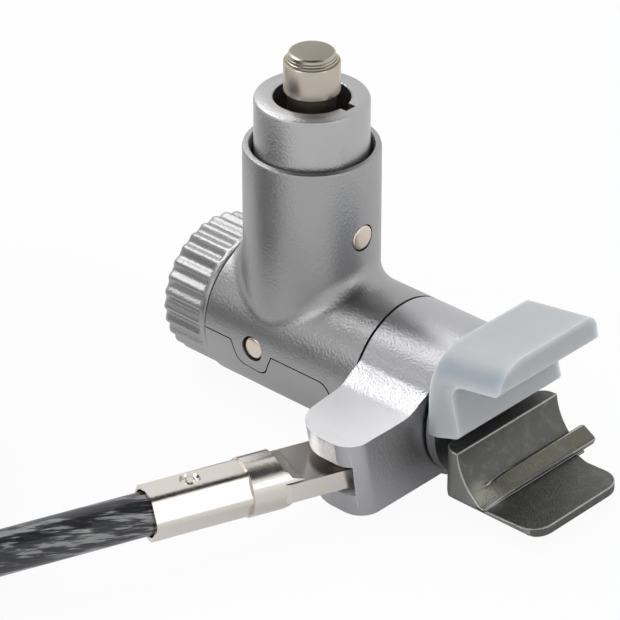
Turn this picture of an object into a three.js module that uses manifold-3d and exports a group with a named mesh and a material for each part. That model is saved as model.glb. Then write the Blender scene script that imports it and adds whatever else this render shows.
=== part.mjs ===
// A laptop cable lock: a clamp head with a push-in key cylinder, a tightening knob and a swivel cable.
// Millimetres, +Z up. Inside the group the axes cross at the middle of the barrel under the tube:
// +X along the barrel towards the jaws, -Y towards the cable, +Z up the tube.
import * as THREE from 'three';
import { mergeVertices } from 'three/addons/utils/BufferGeometryUtils.js';
import { ParametricGeometry } from 'three/addons/geometries/ParametricGeometry.js';
import Module from 'manifold-3d';

const wasm = await Module();
wasm.setup();

// ---------------------------------------------------------------- driving dimensions
const runningGap = 0.3;          // clearance between neighbouring pieces
const roundFacets = 40;          // sides of the large turned pieces
const smallFacets = 20;          // sides of pins and shafts
const cutReach = 5;              // how far a cutting shape goes past what it cuts

// barrel, from the knob (back) to the jaws (front)
const barrelRadius = 7.8;
const barrelWall = 1.8;
const knobStep = 0.18;           // how much smaller the knob is than the barrel
const knobLength = 6.11;
const knobFront = -7.95;
const housingFront = 12.43;
const collarLength = 8.98;
const collarWall = 1.8;

// upright tube
const tubeStep = 0.8;            // how much narrower the tube is than the barrel
const tubeWall = 0.85;
const tubeTop = 21.25;
const tubeFootWall = 2;
const filletRadius = 2.3;
const rimChamfer = 0.25;

// lower cover of the barrel, and the housing's lobe that it is notched for
const coverFront = 9.4;
const coverWall = 1.7;
const coverCorner = 1.5;
const lobeOutline = [[1.65, 0], [0.4, -2.8, 1.5], [-3.25, -2.4, 1.2], [-4.15, 0, 0.3]];

// retaining pins
const shaftPinRadius = 1.2;
const shaftPinX = -1.1;
const shaftPinHeight = 0.15;
const shaftPinReach = 2.4;
const cylinderPinRadius = 1.35;
const cylinderPinHeight = 13.0;
const pinSlotDepth = 0.7;

// drive screw and what turns with it
const journalRadius = 2.1;
const threadRadius = 2.0;
const threadPitch = 0.8;
const threadDepth = 0.35;
const hexRadius = 2.5;
const washerThickness = 0.4;
const wheelThickness = 2.2;
const wheelStep = 0.8;           // how much smaller the wheel is than the bore
const wheelNotches = 6;
const wheelWeb = 0.5;            // between the wheel's bore and its notches
const notchWidth = 1.8;
const clipThickness = 0.6;
const clipWidth = 1.4;
const clipGroove = 0.4;

// knob end
const fluteCount = 28;
const fluteDepth = 0.4;
const knobBand = 0.8;
const capRadius = 5.3;
const capThickness = 0.9;
const knobWeb = 1.2;
const knobScrewRadius = 1.0;
const knobScrewHeadRadius = 2.0;
const knobScrewHeadHeight = 1.0;
const knobScrewLength = 4.2;

// stem of the moving jaw
const stemRadius = 3.9;
const stemFlat = 3.3;
const stemBackRoom = 1.7;
const screwEndRoom = 3.5;
const jawOpening = 4.0;          // travel forward from the position modelled
const jawClosing = 0.8;          // travel back from it
const tenonLength = 1.9;
const tenonHalfWidth = 2.2;
const tenonTop = -1.5;
const tenonBottom = -3.6;
const stemDowelRadius = 0.6;

// flange and claw of the fixed jaw, and the boot on it: lengths from the boot's back, heights above the axis
const flangeStep = 0.5;          // how much smaller the flange is than the barrel
const flangeThickness = 1.09;
const dowelRadius = 0.4;
const dowelLength = 1.8;
const bootLap = 0.4;             // how far the boot reaches back over the flange
const bootHalfWidth = 7.75;
const bootWall = 0.7;
const bootBottom = 0.3;
const bootHeelLength = 1.1;
const bootToeLength = 4.05;
const bootToeHeight = 1.3;
const bootThroatLength = 2.6;
const bootThroatHeight = 6.7;
const bootLipLength = 8.5;
const bootLipHeight = 7.7;
const bootLipLean = 0.875;       // how far the lip's end leans back on its way up
const bootTopBackHeight = 9.2;
const bootTilt = 8.9;            // degrees that the top slopes up towards the front
const bootNearCorner = 4.5;
const bootFarCorner = 1.3;

// moving jaw: lengths from its back, heights above the axis
const jawGap = 1.2;              // from the flange to the jaw's back
const jawHalfWidth = 7.65;
const jawBottom = -6.4;
const jawEdge = 0.7;
const jawRimTop = -0.63;
const jawRimLength = 2.04;
const channelRadius = 6.4;
const channelLength = 3.9;
const channelFloor = -4.5;
const ribRise = 0.4;
const ribTopLength = 4.2;
const ribNoseLength = 5.65;
const ribNoseHeight = -5.0;
const ribOverhang = 1.8;
const ribNearEnd = -5.2;
const foldLength = 6.0;
const lipLength = 12.3;
const lipFoldThickness = 0.8;
const lipFrontThickness = 1.05;
const lipCorner = 2.4;
const lipFarInset = 1.7;

// collar and its lug
const lugEnd = -18.1;
const lugDraft = 1.9;            // how much shorter the lug is at the bottom than at the top
const lugTaper = 1.0;
const lugTop = 2.5;
const lugBottom = -6.35;
const lugBackCorner = 4.5;
const lugFrontCorner = 2.2;
const lugBlend = 5.0;
const slotAbove = 2.05;          // of the cable's axis
const slotBelow = 1.6;
const slotSideRoom = 0.4;
const lugPinY = -14.2;
const lugPinRadius = 1.25;
const lugPinCover = 1.9;
const ringGrooveWidth = 1.8;
const ringGrooveDepth = 0.7;

// cable end fitting, along its own axis from the lug pin
const cableYaw = 20.9;           // degrees from -Y towards -X
const cableAxisZ = -2.2;
const fittingLength = 21.3;
const fittingHexRadius = 3.03;
const fittingHexStart = 10.6;
const neckRadius = 3.3;
const scoopStart = 7.7;
const scoopLength = 2.1;
const tongueHalfWidth = 3.2;
const tongueThickness = 2.1;

// lock cylinder, from the sleeve's top down and the key post's base up
const sleeveStand = 5.37;        // how far the sleeve stands out of the tube
const sleeveEdge = 0.35;
const sleeveSkirtWall = 1.35;    // round the chamber for the key plug
const keyHoleLedge = 0.59;       // how much narrower the key's hole is than the chamber
const keyHoleDepth = 5.32;
const chamberSkirt = 2.1;        // how far the sleeve reaches below its retaining pin
const plugTravelRoom = 0.7;
const keyNotchWidth = 1.4;
const keyNotchDepth = 0.86;
const keyNotchOffset = 0.5;
const plugLength = 6.3;
const postNeckRadius = 2.45;
const postHeadRadius = 2.87;
const postHeadStart = 0.55;      // above the sleeve's top
const postHeadLength = 3.4;
const postTopLength = 1.0;
const postTopRadius = 2.35;
const carrierThickness = 1.4;
const boltRadius = 1.0;
const boltSpringGap = 0.35;      // between the bolt and the spring round it
const boltWidth = 1.2;
const boltLength = 1.6;
const boltTipRecess = 0.1;
const springWire = 0.6;
const springTurns = 3;

// cable
const cableDiameter = 4.4;
const cableMidRadius = 24.5;     // radius of the middle turn of the coil
const coilLayers = 4;
const coilFullTurns = 10;        // before the last stretch that brings it to its exit
const coilExitAngle = -50;       // degrees round the coil where the cable climbs out of it
const coilClimb = 45;            // degrees round the coil
const coilReach = 63;            // from the lug pin to the point where the cable meets its coil
const tieThickness = 0.65;
const tieWidth = 8;
const loopBend = 17.6;
const loopApproachTurn = 120;    // degrees
const sleeveLength = 16;
const sleeveWall = 0.6;
const strandSpacing = 5.5;

// ---------------------------------------------------------------- derived places
const degrees = Math.PI / 180;
const ground = -barrelRadius;
const barrelBoreRadius = barrelRadius - barrelWall;
const knobRadius = barrelRadius - knobStep;
const spigotRadius = barrelRadius - collarWall - runningGap;
const flangeRadius = barrelRadius - flangeStep;
const tubeRadius = barrelRadius - tubeStep;
const tubeBoreRadius = tubeRadius - tubeWall;
const sleeveRadius = tubeBoreRadius - runningGap;
const chamberRadius = sleeveRadius - sleeveSkirtWall;
const springRadius = chamberRadius - springWire / 2 - runningGap;
const boltOffset = springRadius - springWire / 2 - boltSpringGap - boltRadius;  // forward of the tube's axis
const keyHoleRadius = chamberRadius - keyHoleLedge;
const keyNotchReach = keyHoleRadius + keyNotchDepth;

const knobBack = knobFront - knobLength;
const housingBack = knobFront + runningGap;
const wheelBack = boltOffset - wheelThickness / 2;
const wheelFront = boltOffset + wheelThickness / 2;
const washerBack = wheelBack - runningGap - washerThickness;
const bushBack = housingBack + runningGap;
const bushFront = washerBack - runningGap;
const clipBack = wheelFront + runningGap;
const barrelBoreFront = clipBack + clipThickness + runningGap;

const collarBack = housingFront + runningGap;
const collarFront = collarBack + collarLength;
const collarMiddle = (collarBack + collarFront) / 2;
const spigotFront = collarFront;
const flangeBack = collarFront + runningGap;
const flangeFront = flangeBack + flangeThickness;
const bootBack = flangeFront - bootLap;
const jawBack = flangeFront + jawGap;
const foldX = jawBack + foldLength;
const lipFront = jawBack + lipLength;
const ribFarEnd = jawHalfWidth + ribOverhang;
const stemBack = barrelBoreFront + stemBackRoom;
const stemFront = jawBack - runningGap;
const stemStepX = collarFront - jawOpening;
const screwFront = stemFront - screwEndRoom;
const stemBoreRadius = stemRadius + runningGap;
const stemBoreFlat = stemFlat + runningGap;

const lugPinX = collarMiddle;
const slotTop = cableAxisZ + slotAbove;
const slotBottom = cableAxisZ - slotBelow;

const boltTipHeight = barrelBoreRadius - boltTipRecess;
const wheelRadius = barrelBoreRadius - wheelStep;
const notchFloorRadius = threadRadius + runningGap + wheelWeb;
const plugTravel = boltTipHeight - notchFloorRadius - runningGap;  // pushed in to lock
const sleeveTop = tubeTop + sleeveStand;
const sleeveBottom = cylinderPinHeight - chamberSkirt;
const tubeFloor = sleeveBottom - plugTravel - plugTravelRoom;
const keyHoleFloor = sleeveTop - keyHoleDepth;
const plugTop = keyHoleFloor - runningGap;
const plugBottom = plugTop - plugLength;
const carrierTop = plugBottom - runningGap;
const carrierBottom = carrierTop - carrierThickness;

// ---------------------------------------------------------------- shapes
function solid(geometry) {
  const bare = geometry.clone();
  bare.deleteAttribute('normal');
  bare.deleteAttribute('uv');
  const merged = mergeVertices(bare, 1e-4);
  const at = merged.attributes.position;
  const corner = (i) => new THREE.Vector3().fromBufferAttribute(at, i);
  const triangles = [];
  let volume = 0;
  for (let i = 0; i < merged.index.count; i += 3) {
    const [a, b, c] = [0, 1, 2].map((k) => merged.index.getX(i + k));
    if (a === b || b === c || c === a) continue;
    triangles.push(a, b, c);
    volume += corner(a).dot(corner(b).cross(corner(c)));
  }
  if (volume < 0) triangles.reverse();
  return new wasm.Manifold(new wasm.Mesh({
    numProp: 3,
    vertProperties: new Float32Array(at.array),
    triVerts: new Uint32Array(triangles),
  }));
}

// A turned solid or ring from its half-section, [place along the axis, radius] from end to end.
function turned(axis, section, facets = roundFacets, spin = 0) {
  const points = section.map(([along, radius]) => new THREE.Vector2(radius, along));
  const geometry = new THREE.LatheGeometry(points, facets).rotateY(spin);
  if (axis === 'x') geometry.rotateZ(-Math.PI / 2);
  if (axis === 'z') geometry.rotateX(Math.PI / 2);
  return solid(geometry);
}

function rod(axis, from, to, radius, facets = roundFacets, spin = 0) {
  return turned(axis, [[from, 0], [from, radius], [to, radius], [to, 0]], facets, spin);
}

function ring(axis, from, to, outer, inner, facets = roundFacets) {
  return turned(axis, [[from, inner], [from, outer], [to, outer], [to, inner], [from, inner]], facets);
}

function block(x0, x1, y0, y1, z0, z1) {
  const geometry = new THREE.BoxGeometry(x1 - x0, y1 - y0, z1 - z0);
  return solid(geometry.translate((x0 + x1) / 2, (y0 + y1) / 2, (z0 + z1) / 2));
}

// A closed outline through corners [x, y, radius of the rounding].
function outline(corners) {
  const shape = new THREE.Shape();
  corners.forEach(([x, y, radius = 0], i) => {
    const corner = new THREE.Vector2(x, y);
    const [bx, by] = corners[(i + corners.length - 1) % corners.length];
    const [ax, ay] = corners[(i + 1) % corners.length];
    const before = new THREE.Vector2(bx, by).sub(corner).normalize();
    const after = new THREE.Vector2(ax, ay).sub(corner).normalize();
    const half = before.angleTo(after) / 2;
    const reach = radius / Math.tan(half);
    const start = corner.clone().addScaledVector(before, reach);
    if (i === 0) shape.moveTo(start.x, start.y);
    else shape.lineTo(start.x, start.y);
    if (radius === 0) return;
    const end = corner.clone().addScaledVector(after, reach);
    const middle = before.clone().add(after).normalize().multiplyScalar(radius / Math.sin(half)).add(corner);
    const from = start.sub(middle).angle();
    const to = end.sub(middle).angle();
    shape.absarc(middle.x, middle.y, radius, from, to, before.cross(after) > 0);
  });
  return shape;
}

// A plate with its outline in the plane across `axis`: y,z across x; x,z across y; x,y across z.
function plate(axis, shape, from, to, arcSteps = 3) {
  const geometry = new THREE.ExtrudeGeometry(shape, {
    depth: to - from, bevelEnabled: false, curveSegments: arcSteps,
  });
  if (axis === 'z') return solid(geometry.translate(0, 0, from));
  if (axis === 'y') return solid(geometry.rotateX(Math.PI / 2).translate(0, to, 0));
  const turn = new THREE.Matrix4().makeBasis(
    new THREE.Vector3(0, 1, 0), new THREE.Vector3(0, 0, 1), new THREE.Vector3(1, 0, 0));
  return solid(geometry.applyMatrix4(turn).translate(from, 0, 0));
}

// A plain round cord along points.
function cord(points, steps, diameter = cableDiameter) {
  const section = new THREE.Shape().absarc(0, 0, diameter / 2, 0, 2 * Math.PI);
  return solid(new THREE.ExtrudeGeometry(section, {
    steps, curveSegments: 4, bevelEnabled: false,
    extrudePath: new THREE.CatmullRomCurve3(points, false, 'centripetal'),
  }));
}

const group = new THREE.Group();
const head = new THREE.Group();
head.position.set(-(knobBack + lipFront) / 2, -(lugEnd + ribFarEnd) / 2, -ground);
group.add(head);

function addPiece(name, shape, finish, parent = head) {
  const mesh = shape.getMesh();
  const geometry = new THREE.BufferGeometry();
  geometry.setAttribute('position', new THREE.BufferAttribute(mesh.vertProperties, 3));
  geometry.setIndex(new THREE.BufferAttribute(mesh.triVerts, 1));
  geometry.computeVertexNormals();
  const piece = new THREE.Mesh(geometry, new THREE.MeshStandardMaterial(finish));
  piece.name = name;
  parent.add(piece);
}

const finishes = {
  castSilver: { color: 0x9b9b9b, metalness: 0.9, roughness: 0.42 },
  knobSilver: { color: 0xa2a2a3, metalness: 0.9, roughness: 0.38 },
  darkJaw: { color: 0x54544f, metalness: 0.85, roughness: 0.45 },
  nickel: { color: 0xc9bdb3, metalness: 1.0, roughness: 0.2 },
  steel: { color: 0x8f9194, metalness: 1.0, roughness: 0.35 },
  bronze: { color: 0xa98650, metalness: 0.9, roughness: 0.4 },
  blackStem: { color: 0x1b1b1c, metalness: 0.3, roughness: 0.55 },
  milkySilicone: { color: 0xb4b9bd, metalness: 0.0, roughness: 0.5 },
  blackRubber: { color: 0x202022, metalness: 0.0, roughness: 0.8 },
  cablePlastic: { color: 0x2b2c2e, metalness: 0.2, roughness: 0.3 },
  strap: { color: 0x1d1d1f, metalness: 0.0, roughness: 0.9 },
};

// Moves each side of a closed outline inwards by a distance.
function inset(corners, distance) {
  const sides = corners.map(([x, y], i) => {
    const [nx, ny] = corners[(i + 1) % corners.length];
    const run = new THREE.Vector2(nx - x, ny - y).normalize();
    return { start: new THREE.Vector2(x - run.y * distance, y + run.x * distance), run };
  });
  return sides.map((side, i) => {
    const last = sides[(i + sides.length - 1) % sides.length];
    const share = side.run.cross(side.start.clone().sub(last.start)) / side.run.cross(last.run);
    return [...last.start.clone().addScaledVector(last.run, share).toArray(), corners[i][2]];
  });
}

// ---------------------------------------------------------------- housing and cover
// The tube's foot: its wall and the rolled fillet that runs down onto the barrel all round.
function tubeFoot() {
  const filletSteps = 4;
  const innerRadius = tubeRadius - tubeFootWall;
  const innerFoot = innerRadius * 0.7;
  const onTube = (outwards, radius, height) => outwards.clone().multiplyScalar(radius).setZ(height);
  const fillet = (outwards, share) => {
    const centre = outwards.clone().multiplyScalar(tubeRadius + filletRadius);
    centre.z = Math.sqrt((barrelRadius + filletRadius) ** 2 - centre.y ** 2);
    const toTube = outwards.clone().negate();
    const toBarrel = new THREE.Vector3(0, -centre.y, -centre.z).normalize();
    const sweep = toTube.angleTo(toBarrel);
    return centre
      .addScaledVector(toTube, (filletRadius * Math.sin((1 - share) * sweep)) / Math.sin(sweep))
      .addScaledVector(toBarrel, (filletRadius * Math.sin(share * sweep)) / Math.sin(sweep));
  };
  const section = [
    (outwards) => onTube(outwards, tubeRadius - rimChamfer, tubeTop),
    (outwards) => onTube(outwards, tubeRadius, tubeTop - rimChamfer),
  ];
  for (let i = 0; i <= filletSteps; i += 1) section.push((outwards) => fillet(outwards, i / filletSteps));
  section.push((outwards) => onTube(outwards, innerRadius, innerFoot));
  section.push((outwards) => onTube(outwards, innerRadius, tubeTop));
  section.push(section[0]);
  const surface = (across, around, target) => {
    const angle = around * 2 * Math.PI;
    const outwards = new THREE.Vector3(Math.cos(angle), Math.sin(angle), 0);
    target.copy(section[Math.round(across * (section.length - 1))](outwards));
  };
  return solid(new ParametricGeometry(surface, section.length - 1, roundFacets));
}

// The side view of the cover: the lower half of the barrel, notched for the lobe. `grow` opens it all round.
function coverZone(grow) {
  const corners = [
    [housingBack - 1, ground - 1], [coverFront, ground - 1], [coverFront, 0, coverCorner],
    ...lobeOutline, [housingBack - 1, 0],
  ];
  return plate('y', outline(inset(corners, -grow)), ground - 1, barrelRadius + 1, 4);
}

function stemBore(from, to) {
  const flats = block(from, to, -stemBoreFlat, stemBoreFlat, -stemBoreRadius, stemBoreRadius);
  return rod('x', from, to, stemBoreRadius, smallFacets).intersect(flats);
}

// The hole for a flange dowel, or with no `room` the dowel itself.
function flangeDowel(side, room) {
  const middle = (flangeBack + flangeFront - dowelLength) / 2;
  const half = dowelLength / 2 + room;
  return rod('x', middle - half, middle + half, dowelRadius + room, 12)
    .translate([0, (side * (stemBoreFlat + spigotRadius)) / 2, 0]);
}

function bodyHousing() {
  const foot = tubeFoot().subtract(block(knobBack, housingBack, -barrelRadius, barrelRadius, 0, tubeTop));
  const coverRecess = ring('x', housingBack - 1, coverFront + 1, barrelRadius + 1, barrelBoreRadius - runningGap);
  return rod('x', housingBack, housingFront, barrelRadius)
    .add(rod('x', 0, spigotFront, spigotRadius))
    .add(rod('z', 1, tubeTop, tubeRadius - tubeFootWall / 2))
    .add(foot)
    .subtract(rod('z', tubeFloor, tubeTop + 1, tubeBoreRadius))
    .subtract(rod('x', housingBack - 1, barrelBoreFront, barrelBoreRadius))
    .subtract(stemBore(barrelBoreFront - 1, spigotFront + 1))
    .subtract(rod('z', 0, tubeFloor + 1, boltRadius + runningGap, smallFacets).translate([boltOffset, 0, 0]))
    .subtract(rod('x', 0, tubeRadius + 1, cylinderPinRadius + runningGap, smallFacets)
      .translate([0, 0, cylinderPinHeight]))
    .subtract(rod('y', -barrelRadius - 1, 0, shaftPinRadius + runningGap, smallFacets)
      .translate([shaftPinX, 0, shaftPinHeight]))
    .subtract(coverRecess.intersect(coverZone(runningGap)))
    .subtract(ring('x', collarMiddle - ringGrooveWidth / 2, collarMiddle + ringGrooveWidth / 2,
      spigotRadius + 1, spigotRadius - ringGrooveDepth))
    .subtract(flangeDowel(-1, runningGap))
    .subtract(flangeDowel(1, runningGap));
}

addPiece('body_housing', bodyHousing(), finishes.castSilver);
addPiece('barrel_cover', ring('x', housingBack, coverFront + 1, barrelRadius, barrelRadius - coverWall)
  .intersect(coverZone(0)), finishes.castSilver);
addPiece('shaft_retaining_pin', rod('y', 0.1 - barrelRadius, 0.1 - barrelRadius + shaftPinReach, shaftPinRadius,
  smallFacets).translate([shaftPinX, 0, shaftPinHeight]), finishes.nickel);
addPiece('cylinder_retaining_pin', rod('x', sleeveRadius - pinSlotDepth + runningGap, tubeRadius - 0.05,
  cylinderPinRadius, smallFacets).translate([0, 0, cylinderPinHeight]), finishes.nickel);

// ---------------------------------------------------------------- fixed jaw and boot
// The claw's side view: heel, toe, throat, lip and a top that the sloping top face cuts off.
function clawCorners(back) {
  return [
    [back, bootBottom], [bootBack + bootHeelLength, bootBottom], [bootBack + bootToeLength, bootToeHeight],
    [bootBack + bootThroatLength, bootThroatHeight], [bootBack + bootLipLength, bootLipHeight],
    [bootBack + bootLipLength - bootLipLean, bootLipHeight + cutReach], [back, bootLipHeight + cutReach],
  ];
}

// The boot's outer shape, or shrunk all round by `by`, reaching back to `back`.
function claw(by, back) {
  const half = bootHalfWidth - by;
  const side = plate('y', outline(inset(clawCorners(back - by), by)), -half, half);
  const reach = bootTopBackHeight + barrelRadius;
  const front = plate('x', outline([
    [-half, -reach], [half, -reach],
    [half, -by, bootFarCorner - by / 2], [-half, -by, bootNearCorner - by],
  ]), back - bootBack - cutReach, bootLipLength + cutReach);
  return side.intersect(front.rotate([0, -bootTilt, 0]).translate([bootBack, 0, bootTopBackHeight]));
}

function upperJaw() {
  return rod('x', flangeBack, flangeFront, flangeRadius)
    .add(claw(bootWall + runningGap, flangeFront - 0.5))
    .subtract(block(flangeBack - 1, flangeFront + bootHeelLength, -stemBoreFlat, stemBoreFlat,
      -stemBoreRadius, runningGap))
    .subtract(flangeDowel(-1, runningGap))
    .subtract(flangeDowel(1, runningGap));
}

addPiece('upper_jaw', upperJaw(), finishes.castSilver);
addPiece('jaw_boot', claw(0, bootBack)
  .subtract(claw(bootWall, bootBack - cutReach))
  .subtract(rod('x', flangeBack, flangeFront + runningGap, flangeRadius + runningGap)), finishes.milkySilicone);
addPiece('jaw_dowel_near', flangeDowel(-1, 0), finishes.steel);
addPiece('jaw_dowel_far', flangeDowel(1, 0), finishes.steel);

// ---------------------------------------------------------------- knob, screw and locking wheel
const capSeat = knobBack + capThickness + 2 * runningGap;
const screwHeadSeat = capSeat + knobScrewHeadHeight;
const hexBack = screwHeadSeat + knobWeb + runningGap;

function thumbKnob() {
  const flutes = new THREE.Shape();
  const stepsPerFlute = 4;
  for (let i = 0; i < fluteCount * stepsPerFlute; i += 1) {
    const angle = (i / (fluteCount * stepsPerFlute)) * 2 * Math.PI;
    const radius = knobRadius - fluteDepth * Math.sin((i / stepsPerFlute) * Math.PI) ** 2;
    flutes.lineTo(radius * Math.cos(angle), radius * Math.sin(angle));
  }
  return plate('x', flutes, knobBack, knobFront - knobBand + 0.1)
    .add(rod('x', knobFront - knobBand, knobFront, knobRadius))
    .subtract(rod('x', knobBack - 1, capSeat, capRadius + runningGap))
    .subtract(rod('x', knobBack, screwHeadSeat, knobScrewHeadRadius + runningGap, smallFacets))
    .subtract(rod('x', knobBack, knobFront, knobScrewRadius + runningGap, smallFacets))
    .subtract(rod('x', hexBack - runningGap, knobFront + 1, hexRadius + runningGap / Math.cos(Math.PI / 6), 6));
}

function driveScrew() {
  const section = [[hexBack, 0], [hexBack, journalRadius], [wheelBack - runningGap, journalRadius],
    [wheelBack - runningGap, threadRadius]];
  const threadStart = barrelBoreFront + runningGap;
  for (let x = threadStart; x + 3 * threadPitch < screwFront; x += 3 * threadPitch) {
    section.push([x, threadRadius], [x + threadPitch / 2, threadRadius - threadDepth]);
    section.push([x + threadPitch, threadRadius - threadDepth], [x + 1.5 * threadPitch, threadRadius]);
  }
  section.push([screwFront - threadDepth, threadRadius], [screwFront, threadRadius - threadDepth], [screwFront, 0]);
  return turned('x', section, 14)
    .add(rod('x', hexBack, knobFront, hexRadius, 6))
    .subtract(ring('x', clipBack - 0.1, clipBack + clipThickness + 0.1, threadRadius + 1,
      threadRadius - clipGroove, smallFacets))
    .subtract(rod('x', hexBack - 1, screwHeadSeat + knobScrewLength + runningGap, knobScrewRadius + runningGap, 16));
}

function lockingWheel() {
  const notch = block(wheelBack - 1, wheelFront + 1, -notchWidth / 2, notchWidth / 2,
    notchFloorRadius, wheelRadius + 1);
  let wheel = ring('x', wheelBack, wheelFront, wheelRadius, threadRadius + runningGap, 36);
  for (let i = 0; i < wheelNotches; i += 1) {
    wheel = wheel.subtract(notch.rotate([(360 / wheelNotches) * i, 0, 0]));
  }
  return wheel;
}

function screwBush() {
  const grooveHalf = shaftPinRadius + runningGap;
  return ring('x', bushBack, bushFront, barrelBoreRadius - runningGap, journalRadius + runningGap, 28)
    .subtract(ring('x', shaftPinX - grooveHalf, shaftPinX + grooveHalf, barrelRadius,
      barrelRadius - shaftPinReach - runningGap, 28));
}

const capBack = knobBack + 0.1;
addPiece('thumb_knob', thumbKnob(), finishes.knobSilver);
addPiece('knob_cap', turned('x', [[capBack, 0], [capBack, capRadius - 0.3], [capBack + 0.3, capRadius],
  [capBack + capThickness, capRadius], [capBack + capThickness, 0]]), finishes.knobSilver);
addPiece('knob_screw', rod('x', capSeat, screwHeadSeat - runningGap, knobScrewHeadRadius, smallFacets)
  .add(rod('x', capSeat, screwHeadSeat + knobScrewLength, knobScrewRadius, 16))
  .subtract(rod('x', capSeat - 1, capSeat + knobScrewHeadHeight / 2, knobScrewHeadRadius / 2, 6)), finishes.steel);
addPiece('drive_screw', driveScrew(), finishes.steel);
addPiece('screw_bush', screwBush(), finishes.bronze);
addPiece('thrust_washer', ring('x', washerBack, washerBack + washerThickness, wheelRadius - 1,
  journalRadius + runningGap, 24), finishes.bronze);
addPiece('locking_wheel', lockingWheel(), finishes.steel);
addPiece('screw_clip', ring('x', clipBack, clipBack + clipThickness, threadRadius + clipWidth,
  threadRadius - clipGroove + runningGap, smallFacets)
  .subtract(block(clipBack - 1, wheelFront + clipThickness + 1, -0.4 * threadRadius, 0.4 * threadRadius,
    -barrelRadius, 0)), finishes.steel);

// ---------------------------------------------------------------- moving jaw and its stem
function stemDowel(room) {
  return rod('z', jawBottom + 0.1 - room, tenonTop - 0.6 + room, stemDowelRadius + room, 12)
    .translate([jawBack + (tenonLength - runningGap) / 2, 0, 0]);
}

function jawStem() {
  const flats = block(stemBack, stemFront, -stemFlat, stemFlat, -stemRadius, stemRadius);
  return rod('x', stemBack, stemFront, stemRadius, smallFacets).intersect(flats)
    .subtract(block(stemStepX, stemFront + 1, -stemRadius, stemRadius, 0, stemRadius + 1))
    .subtract(rod('x', stemBack - 1, screwFront + jawClosing + 2 * runningGap, threadRadius + runningGap,
      smallFacets))
    .add(block(stemFront - 1, stemFront + tenonLength, -tenonHalfWidth, tenonHalfWidth, tenonBottom, tenonTop))
    .subtract(stemDowel(runningGap));
}

function clampJaw() {
  const foldZ = jawBottom + lipFoldThickness;
  const channelStart = new THREE.Vector2(jawBack + jawRimLength, jawRimTop);
  const channelEnd = new THREE.Vector2(jawBack + channelLength, channelFloor);
  const fall = channelEnd.clone().sub(channelStart);
  const sag = channelRadius - Math.sqrt(channelRadius ** 2 - fall.lengthSq() / 4);
  const lowest = new THREE.Vector2(fall.y, -fall.x).setLength(2 * sag)
    .addScaledVector(fall, 0.5).add(channelStart);
  const side = new THREE.Shape();
  side.moveTo(jawBack, jawBottom);
  side.lineTo(jawBack, jawRimTop);
  side.lineTo(channelStart.x, channelStart.y);
  side.quadraticCurveTo(lowest.x, lowest.y, channelEnd.x, channelEnd.y);
  side.lineTo(foldX - 0.5, foldZ - 0.2);
  side.lineTo(foldX, foldZ);
  side.lineTo(lipFront, jawBottom + lipFrontThickness);
  side.lineTo(lipFront, jawBottom);
  const plan = outline([
    [jawBack, -jawHalfWidth, 1], [lipFront, -jawHalfWidth, lipCorner],
    [lipFront, jawHalfWidth - lipFarInset, lipCorner], [foldX + lipFarInset, jawHalfWidth - lipFarInset, 1.4],
    [foldX, jawHalfWidth, 0.5], [jawBack, jawHalfWidth, 1],
  ]);
  const across = outline([
    [-jawHalfWidth, 0], [-jawHalfWidth, jawBottom, jawEdge], [jawHalfWidth, jawBottom, jawEdge], [jawHalfWidth, 0],
  ]);
  const along = outline([
    [jawBack, 0], [jawBack, jawBottom, 1.2], [lipFront, jawBottom, 0.4], [lipFront, 0],
  ]);
  const ribNose = jawBack + ribNoseLength;
  const rib = outline([
    [jawBack + channelLength - 0.1, channelFloor - 0.3], [jawBack + ribTopLength, channelFloor + ribRise],
    [ribNose, ribNoseHeight, 0.15], [ribNose + 0.1, ribNoseHeight - 0.3],
    [foldX - 0.7, foldZ - 0.1], [jawBack + channelLength, foldZ - 0.1],
  ]);
  return plate('y', side, -jawHalfWidth, jawHalfWidth, 5)
    .intersect(plate('z', plan, jawBottom - 1, jawRimTop + 1))
    .intersect(plate('x', across, jawBack - 1, lipFront + 1, 2))
    .intersect(plate('y', along, -jawHalfWidth, jawHalfWidth, 2))
    .add(plate('y', rib, ribNearEnd, ribFarEnd))
    .subtract(block(jawBack - 1, stemFront + tenonLength + runningGap, -tenonHalfWidth - runningGap,
      tenonHalfWidth + runningGap, tenonBottom - runningGap, tenonTop + runningGap))
    .subtract(stemDowel(runningGap));
}

addPiece('clamp_jaw', clampJaw(), finishes.darkJaw);
addPiece('jaw_stem', jawStem(), finishes.blackStem);
addPiece('stem_dowel', stemDowel(0), finishes.steel);

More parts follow.
